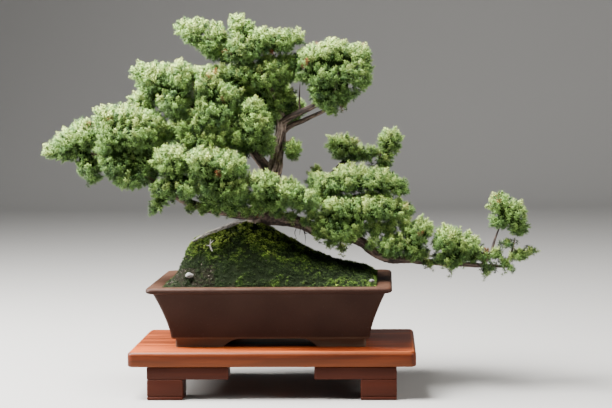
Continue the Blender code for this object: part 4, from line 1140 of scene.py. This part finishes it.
root_route = lie_on_moss((
    (-0.126, -0.012, 0.0018), (-0.110, -0.010, 0.0026), (-0.090, -0.006, 0.0032),
    (-0.072, -0.003, 0.0036), (-0.056, 0.000, 0.0036), (-0.044, 0.003, 0.0032),
))
root = limb_mesh("silver_root", root_route, 20, 0.0016)
add_bark(root, root_route, 0.0007, 0.0016, 4.4)
soft_shading(root, 60)
hand_over(root, silver_wood, "silver_deadwood", "surface_root")

foot = lie_on_moss(((-0.093, -0.048, 0.0018),))[0][:3]
twig_parts = []
for name, steps in (
    ("stem", ((0, 0, 0, 0.0014), (-0.002, -0.006, 0.008, 0.0012), (-0.001, -0.009, 0.018, 0.0007))),
    ("spur", ((-0.002, -0.006, 0.008, 0.0010), (-0.008, -0.010, 0.0095, 0.0005))),
    ("spike", ((-0.0015, -0.008, 0.012, 0.0008), (0.004, -0.010, 0.0165, 0.0004))),
):
    route = [(foot[0] + x, foot[1] + y, foot[2] + z, radius) for x, y, z, radius in steps]
    part = limb_mesh("dead_twig_" + name, route, 10, 0.001)
    add_bark(part, route, 0.00025, 0.0009, 2.2)
    twig_parts.append(part)
dead_twig = joined(twig_parts)
soft_shading(dead_twig, 60)
hand_over(dead_twig, silver_wood, "silver_deadwood", "dead_twig")

pebble_stone = speckled_material(
    "grey pebble", (0.07, 0.065, 0.06), (0.24, 0.23, 0.22), 260.0, 0.75
)
for node in ("pebble_left", "pebble_right"):
    low, high = (Vector(corner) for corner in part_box(node))
    deselect()
    bpy.ops.mesh.primitive_ico_sphere_add(subdivisions=4, radius=0.5, location=(0, 0, 0))
    pebble = bpy.context.object
    pebble.name = node + "_stone"
    for corner in pebble.data.vertices:
        corner.co *= 1.0 + 0.16 * noise.noise(corner.co * 2.6 + low * 40)
    pebble.scale = high - low
    pebble.location = (low + high) / 2
    settle(pebble)
    soft_shading(pebble, 60)
    hand_over(pebble, pebble_stone, "pebble_stone", node)


# %% [markdown]
# Thin dead twigs, thinner than a match, hang below the long branch where its shoots have died. Two
# more carry the small tuft behind the trunk. Each is a short limb with six sides, and all of them
# are joined into one piece.

# %% Hang the dead twigs
TWIGS = (
    ((0.0340, -0.038, 0.262), (0.0350, -0.040, 0.250), (0.0330, -0.041, 0.243),
     (0.0362, -0.041, 0.233)),
    ((0.0400, -0.036, 0.259), (0.0412, -0.038, 0.249), (0.0400, -0.038, 0.240)),
    ((0.0465, -0.038, 0.257), (0.0470, -0.040, 0.245), (0.0490, -0.041, 0.238),
     (0.0486, -0.041, 0.226)),
    ((0.0470, -0.040, 0.245), (0.0505, -0.043, 0.242), (0.0530, -0.044, 0.243)),
    ((0.0960, -0.046, 0.240), (0.0968, -0.048, 0.229), (0.0992, -0.049, 0.218)),
    ((0.1020, -0.046, 0.238), (0.1030, -0.048, 0.225), (0.1060, -0.049, 0.219),
     (0.1078, -0.049, 0.210)),
    ((-0.0560, -0.046, 0.284), (-0.0570, -0.048, 0.272), (-0.0550, -0.049, 0.265)),
    ((0.1900, -0.030, 0.215), (0.1915, -0.031, 0.204), (0.1900, -0.031, 0.198)),
    ((0.0620, 0.067, 0.303), (0.0635, 0.058, 0.320), (0.0640, 0.050, 0.337)),
    ((0.0635, 0.058, 0.320), (0.0690, 0.036, 0.322), (0.0730, 0.020, 0.322)),
)
twigs = []
TWIG_RADIUS, TWIG_TAPER = 0.0007, 0.00008
for number, trail in enumerate(TWIGS):
    route = tuple(
        (x, y, z, TWIG_RADIUS - TWIG_TAPER * step) for step, (x, y, z) in enumerate(trail)
    )
    twigs.append(limb_mesh("dead_twig_" + str(number), route, sides=6, spacing=0.0022))
hanging_twigs = joined(twigs)
hanging_twigs.name = "hanging_dead_twigs"
soft_shading(hanging_twigs, 60)
hand_over(hanging_twigs, branch_bark, "juniper_bark")
print("hanging twigs:", len(twigs), "faces:", len(hanging_twigs.data.polygons))


# %% [markdown]
# ## Juniper shoots
# This juniper keeps its young foliage: short awl-shaped needles in threes round each shoot. The
# needles stand out at the foot of the shoot and close up towards its tip, so a shoot looks like a
# small star from the front. One needle of four faces is modelled, and one shoot is made of it.

# %% Model one shoot
NEEDLE = (0.0056, 0.00145, 0.0006)
# The whorls of three needles up the shoot: height, lean in degrees, and size.
WHORLS = ((0.0003, 78, 1.0), (0.0018, 61, 1.0), (0.0032, 43, 0.92), (0.0044, 21, 0.80))


def model_shoot(seed):
    random = np.random.default_rng(seed)
    needle = pointed_leaf("juniper_needle", *NEEDLE)
    needles = []
    for level_number, (height, tilt, size) in enumerate(WHORLS):
        for number in range(3):
            take(needle)
            bpy.ops.object.duplicate()
            copy = bpy.context.object
            azimuth = math.radians(120 * number + 60 * level_number) + random.uniform(-0.2, 0.2)
            lean = math.radians(tilt) + random.uniform(-0.12, 0.12)
            matrix = Matrix.Translation((0, 0, height)) @ Matrix.Rotation(azimuth, 4, "Z")
            matrix = matrix @ Matrix.Rotation(lean, 4, "Y")
            copy.data.transform(matrix @ Matrix.Scale(size * random.uniform(0.88, 1.1), 4))
            needles.append(copy)
    bpy.data.objects.remove(needle)
    return joined(needles)


shoot = model_shoot(5)
shoot_points, shoot_faces = mesh_arrays(shoot)
bpy.data.objects.remove(shoot)
SHOOT_LENGTH = float(shoot_points[:, 2].max())
needle_tip = np.arange(len(shoot_points)) % 4 == 3
shoot_tips = 0.75 * needle_tip + 0.25 * shoot_points[:, 2] / SHOOT_LENGTH
print("shoot:", len(shoot_faces), "faces,", round(SHOOT_LENGTH * 1000, 1), "mm long")


# %% [markdown]
# ## Pads of foliage
# A pad is a cloud of short twigs, each carrying six to eight shoots, like a small plume. Plumes
# stand about 10 mm apart over the surface of the imported pad, point outwards and up to the light,
# and some reach further than others, which gives the lumpy outline and the deep gaps between.
# Under them single shaded shoots stand straight out of the pad and close the gaps.
# Each plume is painted lighter the more it faces the sky, the further it stands out and the higher
# it sits in the pad, as painted light; a few have died and turned red-brown.

# %% Tools for plumes
GOLDEN = math.radians(137.5)
PLUME_GAP = 0.0104
TUFT_GAP = 0.0122
UNDER_GAP = 0.0082
DEAD_SHARE = 0.011
pad_nodes = sorted(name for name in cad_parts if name.startswith("pad_"))


def surface_of(node):
    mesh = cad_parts[node].data
    mesh.calc_loop_triangles()
    points = np.array([corner.co[:] for corner in mesh.vertices])
    faces = np.array([triangle.vertices[:] for triangle in mesh.loop_triangles])
    return points, faces


pad_surfaces = {node: surface_of(node) for node in pad_nodes}
pad_trees = {
    node: BVHTree.FromPolygons([tuple(p) for p in points], [tuple(f) for f in faces])
    for node, (points, faces) in pad_surfaces.items()
}


def is_inside(tree, point):
    """True if a line up from the point crosses the closed surface an odd number of times."""
    way = Vector((0.013, 0.021, 1.0)).normalized()
    crossings, spot = 0, Vector(point)
    while (hit := tree.ray_cast(spot, way))[0] is not None:
        crossings += 1
        spot = hit[0] + way * 1e-4
    return crossings % 2 == 1


def spread_over(points, faces, gap, random):
    """Points on a surface, no two nearer than the gap, with the face normals there."""
    corners = points[faces]
    cross = np.cross(corners[:, 1] - corners[:, 0], corners[:, 2] - corners[:, 0])
    area = np.linalg.norm(cross, axis=1) / 2
    count = int(area.sum() / gap**2 * 9)
    chosen = random.choice(len(faces), count, p=area / area.sum())
    share = random.random((count, 2))
    flip = share.sum(1) > 1
    share[flip] = 1 - share[flip]
    tri = corners[chosen]
    spots = tri[:, 0] + share[:, :1] * (tri[:, 1] - tri[:, 0])
    spots = spots + share[:, 1:] * (tri[:, 2] - tri[:, 0])
    normals = cross[chosen] / np.linalg.norm(cross[chosen], axis=1)[:, None]
    kept = []
    for number in range(count):
        if not kept or ((spots[kept] - spots[number]) ** 2).sum(1).min() > gap * gap:
            kept.append(number)
    return spots[kept], normals[kept]


def plume_plan(spots, normals, centre, rise, own, random):
    """Feet, directions, lengths and light of plumes that stand on these spots of a surface."""
    plumes = []
    for spot, normal, lump in zip(spots, normals, clouds(spots, 0.026, 6.0)):
        others = (tree for other, tree in pad_trees.items() if other != own)
        buried = any(is_inside(tree, spot + normal * 0.010) for tree in others)
        if buried and random.random() < 0.4:
            continue
        outward = spot - centre
        outward /= max(np.linalg.norm(outward), 1e-6)
        direction = normal * 0.85 + outward * 0.30 + np.array([0, 0, 0.38])
        direction += random.normal(0, 0.24, 3)
        direction /= np.linalg.norm(direction)
        length = 0.013 + 0.006 * random.random()
        past = 0.0025 + 0.007 * lump + 0.0045 * random.random() ** 2 - (0.006 if buried else 0.0)
        foot = spot + direction * (past - SHOOT_LENGTH - 0.8 * length)
        light = 0.42 + 0.42 * max(normal[2], -0.5) + 0.5 * lump + 0.5 * (spot[2] - centre[2]) / rise
        plumes.append((foot, direction, length, float(np.clip(light, 0, 1)), buried))
    return plumes


def plumes_on_pad(node, random):
    points, faces = pad_surfaces[node]
    spots, normals = spread_over(points, faces, PLUME_GAP, random)
    centre = (points.min(0) + points.max(0)) / 2
    return plume_plan(spots, normals, centre, max(np.ptp(points[:, 2]), 0.03), node, random)


def plumes_on_tuft(centre, radius, random):
    """Plumes over a small ball, which fills a gap between pads or hangs from a limb."""
    count = max(5, int(4 * math.pi * radius**2 / (TUFT_GAP**2 * 0.85)))
    height = 1 - 2 * (np.arange(count) + 0.5) / count
    turn = GOLDEN * np.arange(count) + random.uniform(0, TURN)
    flat = np.sqrt(1 - height**2)
    normals = np.stack([flat * np.cos(turn), flat * np.sin(turn), height], axis=1)
    return plume_plan(centre + normals * radius, normals, centre, 0.03 + radius, "", random)


def shoots_of(plumes, random):
    """Each plume's shoots: one at its tip, the others round its twig."""
    spots, directions, sizes, tones, heights = [], [], [], [], []
    for foot, direction, length, light, buried in plumes:
        side = np.cross(direction, [0.3, 0.5, 0.8])
        side /= np.linalg.norm(side)
        other = np.cross(direction, side)
        count = 5 if buried else int(random.integers(6, 9))
        start = random.uniform(0, TURN)
        # Painted light: plumes that face the sky get a lighter tone, and their shoots sit higher up
        # the palette, towards the bright tips.
        plume_tone = np.clip(0.22 + 0.50 * light + random.normal(0, 0.09), 0.03, 0.88)
        dead = random.random() < DEAD_SHARE
        for number in range(count):
            share = number / (count - 1)
            angle = start + GOLDEN * number
            lean = math.radians(72 - 44 * share) if number < count - 1 else 0.0
            sideways = side * math.cos(angle) + other * math.sin(angle)
            way = direction * math.cos(lean) + sideways * math.sin(lean)
            spots.append(foot + direction * length * (0.05 + 0.75 * share))
            directions.append(way + random.normal(0, 0.12, 3))
            sizes.append(random.uniform(0.88, 1.14))
            brown = dead and random.random() < 0.7
            tones.append(0.97 if brown else plume_tone + random.normal(0, 0.04))
            lift = 0.11 + 0.66 * share * (0.60 + 0.40 * light) + 0.20 * light * light
            heights.append(np.clip(lift + random.normal(0, 0.19), 0.01, 1.0))
    return [np.array(values) for values in (spots, directions, sizes, tones, heights)]


def under_shoots(node, random):
    """Single shaded shoots that stand straight out of a pad, under its plumes."""
    points, faces = pad_surfaces[node]
    spots, normals = spread_over(points, faces, UNDER_GAP, random)
    count = len(spots)
    depth = random.uniform(0.0050, 0.0085, (count, 1))
    directions = normals + random.normal(0, 0.35, (count, 3))
    tones = random.uniform(0.10, 0.50, count)
    return [spots - normals * depth, directions, random.uniform(1.0, 1.3, count), tones,
            random.uniform(0.15, 0.75, count)]


juniper_needles = palette_material(
    "juniper needles",
    ((0.05, (0.005, 0.014, 0.003)), (0.45, (0.010, 0.030, 0.004)), (0.88, (0.022, 0.056, 0.005)),
     (0.94, (0.060, 0.020, 0.006))),
    ((0.05, (0.190, 0.440, 0.120)), (0.45, (0.520, 0.880, 0.190)), (0.88, (0.860, 1.000, 0.280)),
     (0.94, (0.360, 0.110, 0.030))),
    0.55,
)
set_finish(juniper_needles, "Specular IOR Level", 0.3)

# %% [markdown]
# Deep inside, a pad is old wood, dead needles and shadow, and no light passes through. A dark lumpy
# heart inside each pad stands for that. Each is a ball of triangles, drawn out in every direction
# until it is 13 to 14 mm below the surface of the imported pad. All the hearts are one piece.

# %% Fill the pads with shade
HEART_DEPTH = 0.0135
hearts = []
for node in pad_nodes:
    points, faces = pad_surfaces[node]
    middle = Vector(points.mean(0))
    deselect()
    bpy.ops.mesh.primitive_ico_sphere_add(subdivisions=4, radius=1.0, location=(0, 0, 0))
    heart = bpy.context.object
    for corner in heart.data.vertices:
        way = corner.co.normalized()
        hit = pad_trees[node].ray_cast(middle, way)
        reach = hit[3] if hit[0] is not None else 0.004
        corner.co = middle + way * max(reach - HEART_DEPTH, reach * 0.35)
        corner.co += way * 0.0035 * noise.noise(corner.co * 130)
    hearts.append(heart)
heart = joined(hearts)
heart.name = "shaded_hearts_of_the_pads"
soft_shading(heart, 180)
heart_shade = speckled_material(
    "shaded heart", (0.004, 0.009, 0.002), (0.015, 0.028, 0.006), 420.0, 1.0
)
set_finish(heart_shade, "Specular IOR Level", 0.05)
hand_over(heart, heart_shade, "juniper_needles")
print("hearts:", len(hearts), "triangles:", len(heart.data.polygons))

# %% Cover every pad with plumes
random = np.random.default_rng(8)
foliage_triangles = 0


def grow_foliage(name, shoots, *nodes):
    spots, directions, sizes, tones, heights = shoots
    foliage = copies(
        name, shoot_points, shoot_faces, shoot_tips, spots,
        turns_towards(directions, random.uniform(0, TURN, len(spots))), sizes,
        np.clip(tones, 0.02, 0.98), heights,
    )
    hand_over(foliage, juniper_needles, "juniper_needles", *nodes)
    print(name, "shoots:", len(spots), "triangles:", len(foliage.data.polygons))
    return len(foliage.data.polygons)


for node in pad_nodes:
    outer = shoots_of(plumes_on_pad(node, random), random)
    shoots = [np.concatenate(pair) for pair in zip(outer, under_shoots(node, random))]
    foliage_triangles += grow_foliage(node.replace("pad_", "foliage_"), shoots, node)

# %% [markdown]
# The pads of a live tree grow into each other, and short shoots sprout along the limbs and hang
# below them. Small tufts fill those places. Each is a ball given by its middle and its radius.

# %% Fill in between the pads and along the limbs
TUFTS = {
    "left": (
        (-0.204, -0.020, 0.447, 0.014), (-0.176, -0.030, 0.419, 0.016),
        (-0.156, -0.035, 0.398, 0.015), (-0.126, -0.030, 0.404, 0.015),
        (-0.103, -0.030, 0.377, 0.014), (-0.074, -0.020, 0.369, 0.012),
        (-0.047, -0.010, 0.369, 0.012), (-0.125, -0.050, 0.286, 0.009),
        (-0.106, -0.050, 0.282, 0.009), (-0.086, -0.050, 0.281, 0.008),
        (-0.061, -0.050, 0.279, 0.009), (-0.040, -0.050, 0.281, 0.010),
        (-0.022, -0.050, 0.282, 0.010), (-0.038, -0.050, 0.325, 0.013),
        (-0.041, -0.050, 0.302, 0.012), (-0.109, -0.055, 0.333, 0.012),
        (-0.110, -0.050, 0.310, 0.010), (-0.117, -0.020, 0.484, 0.013),
        (-0.117, -0.020, 0.458, 0.012), (-0.074, 0.000, 0.538, 0.012),
        (-0.073, 0.010, 0.515, 0.011), (-0.093, 0.005, 0.492, 0.012), (-0.105, 0.000, 0.480, 0.010),
        (-0.044, 0.010, 0.504, 0.013), (-0.018, 0.010, 0.499, 0.013), (0.010, 0.010, 0.503, 0.010),
        (0.013, 0.010, 0.488, 0.012), (0.022, 0.010, 0.452, 0.012), (0.028, 0.015, 0.429, 0.010),
    ),
    "crown": (
        (-0.014, 0.000, 0.512, 0.012), (-0.188, -0.030, 0.436, 0.012),
        (-0.126, -0.030, 0.381, 0.012), (-0.126, -0.050, 0.345, 0.012),
        (-0.028, -0.045, 0.297, 0.012), (-0.085, 0.000, 0.522, 0.012), (0.037, 0.010, 0.540, 0.011),
        (0.041, 0.010, 0.518, 0.011), (0.035, 0.010, 0.500, 0.011), (-0.058, -0.020, 0.430, 0.012),
        (-0.234, -0.030, 0.371, 0.012), (-0.104, -0.020, 0.415, 0.012),
        (-0.051, 0.000, 0.491, 0.012), (-0.036, 0.000, 0.461, 0.012), (0.087, -0.040, 0.285, 0.012),
        (0.163, -0.030, 0.284, 0.012), (0.155, -0.030, 0.249, 0.012), (0.109, -0.040, 0.259, 0.012),
        (-0.002, -0.030, 0.308, 0.012), (-0.009, 0.000, 0.414, 0.012),
        (-0.001, 0.005, 0.510, 0.011), (0.014, 0.005, 0.512, 0.011), (0.028, 0.005, 0.509, 0.010),
        (-0.168, -0.035, 0.386, 0.011), (-0.135, -0.055, 0.404, 0.012),
        (-0.113, -0.052, 0.407, 0.012), (-0.091, -0.052, 0.401, 0.012),
        (-0.126, -0.055, 0.384, 0.012), (-0.103, -0.055, 0.384, 0.012),
        (-0.081, -0.055, 0.386, 0.012), (-0.070, -0.052, 0.405, 0.011),
        (-0.054, -0.052, 0.390, 0.010), (-0.162, -0.045, 0.404, 0.012),
        (-0.185, -0.045, 0.427, 0.010), (-0.101, -0.045, 0.434, 0.010),
    ),
    "right": (
        (0.089, -0.005, 0.432, 0.011), (0.069, -0.002, 0.447, 0.010), (0.107, -0.005, 0.441, 0.009),
        (0.079, -0.020, 0.302, 0.011), (0.105, -0.020, 0.297, 0.011), (0.132, -0.020, 0.296, 0.011),
        (0.160, -0.015, 0.297, 0.010), (0.041, -0.035, 0.285, 0.011), (0.059, -0.040, 0.275, 0.011),
        (0.048, -0.020, 0.304, 0.011), (0.008, -0.045, 0.275, 0.009), (0.029, -0.045, 0.272, 0.009),
        (0.049, -0.045, 0.264, 0.009), (0.069, -0.045, 0.245, 0.010), (0.087, -0.045, 0.232, 0.009),
        (0.105, -0.040, 0.221, 0.007), (0.112, -0.042, 0.238, 0.010), (0.150, -0.038, 0.227, 0.010),
        (0.170, -0.035, 0.216, 0.009), (0.190, -0.030, 0.233, 0.012), (0.200, -0.025, 0.253, 0.011),
        (0.175, -0.030, 0.246, 0.012), (0.211, -0.030, 0.218, 0.009), (0.155, -0.030, 0.253, 0.012),
        (0.238, -0.025, 0.196, 0.007), (0.269, -0.025, 0.191, 0.006), (0.296, -0.025, 0.206, 0.009),
        (0.340, -0.020, 0.210, 0.009), (0.352, -0.020, 0.196, 0.007), (0.330, -0.020, 0.187, 0.005),
        (0.357, -0.020, 0.228, 0.008), (0.028, 0.000, 0.365, 0.012), (0.155, 0.085, 0.364, 0.010),
        (0.169, 0.085, 0.335, 0.007), (0.064, 0.050, 0.337, 0.006), (0.073, 0.020, 0.320, 0.009),
        (0.150, -0.020, 0.303, 0.010), (0.174, -0.020, 0.299, 0.010), (0.190, -0.020, 0.292, 0.008),
        (0.164, -0.030, 0.256, 0.010), (0.180, -0.030, 0.259, 0.010), (0.156, -0.030, 0.242, 0.009),
        (0.322, -0.025, 0.188, 0.006), (0.360, -0.022, 0.192, 0.005),
    ),
}
for side, tufts_there in TUFTS.items():
    plumes = []
    for x, y, z, radius in tufts_there:
        plumes += plumes_on_tuft(np.array(place(x, y, z)), radius, random)
    foliage_triangles += grow_foliage("foliage_between_" + side, shoots_of(plumes, random))
print("foliage triangles:", foliage_triangles)


# %% [markdown]
# ## Light and floor
# A large soft light high on the left models the pads. A lower one from the far left, as from a
# window, reaches in under them to the moss. A weak one from the right and a pale surround open the
# shadows a little. The floor is a plain pale sweep that rises behind the tree.

# %% Set the floor and the lights
deselect()
bpy.ops.mesh.primitive_plane_add(size=8.0, location=(0, 1.5, 0))
floor = bpy.context.object
floor.name = "pale_floor"
bpy.ops.object.mode_set(mode="EDIT")
choose(floor, "EDGE", lambda middle, along: middle.y > 3.9)
bpy.ops.mesh.extrude_region_move(TRANSFORM_OT_translate={"value": (0, 0, 4.0)})
choose(floor, "EDGE", lambda middle, along: middle.y > 3.9 and abs(middle.z) < 0.01)
bpy.ops.mesh.bevel(offset=1.5, segments=16, affect="EDGES")
bpy.ops.object.mode_set(mode="OBJECT")
settle(floor)
soft_shading(floor, 60)
floor_paint, _, floor_shader = new_material("pale floor", 0.9)
floor_shader.inputs["Base Color"].default_value = (0.30, 0.295, 0.285, 1.0)
floor.data.materials.append(floor_paint)


def area_light(name, spot, target, size, power, colour):
    data = bpy.data.lights.new(name, "AREA")
    data.shape = "RECTANGLE"
    data.size, data.size_y = size
    data.energy = power
    data.color = colour
    lamp = bpy.data.objects.new(name, data)
    bpy.context.scene.collection.objects.link(lamp)
    lamp.location = place(*spot)
    aim = place(*target) - lamp.location
    lamp.rotation_euler = aim.to_track_quat("-Z", "Y").to_euler()


# Name, place, the point it faces, width and height, watts, and colour.
for lamp_values in (
    ("skylight", (-0.85, -0.38, 2.05), (0.0, 0.0, 0.30), (1.1, 1.1), 390.0, (1.0, 0.99, 0.97)),
    ("window", (-1.75, 0.06, 1.10), (0.0, 0.0, 0.22), (0.5, 0.9), 150.0, (1.0, 0.98, 0.95)),
    ("fill", (1.60, -0.70, 1.15), (0.10, 0.0, 0.24), (0.8, 0.8), 34.0, (1.0, 0.97, 0.93)),
):
    area_light(*lamp_values)
world = bpy.data.worlds.new("studio")
world.use_nodes = True
surround = world.node_tree.nodes["Background"]
surround.inputs["Color"].default_value = (0.80, 0.82, 0.86, 1.0)
surround.inputs["Strength"].default_value = 0.16
bpy.context.scene.world = world
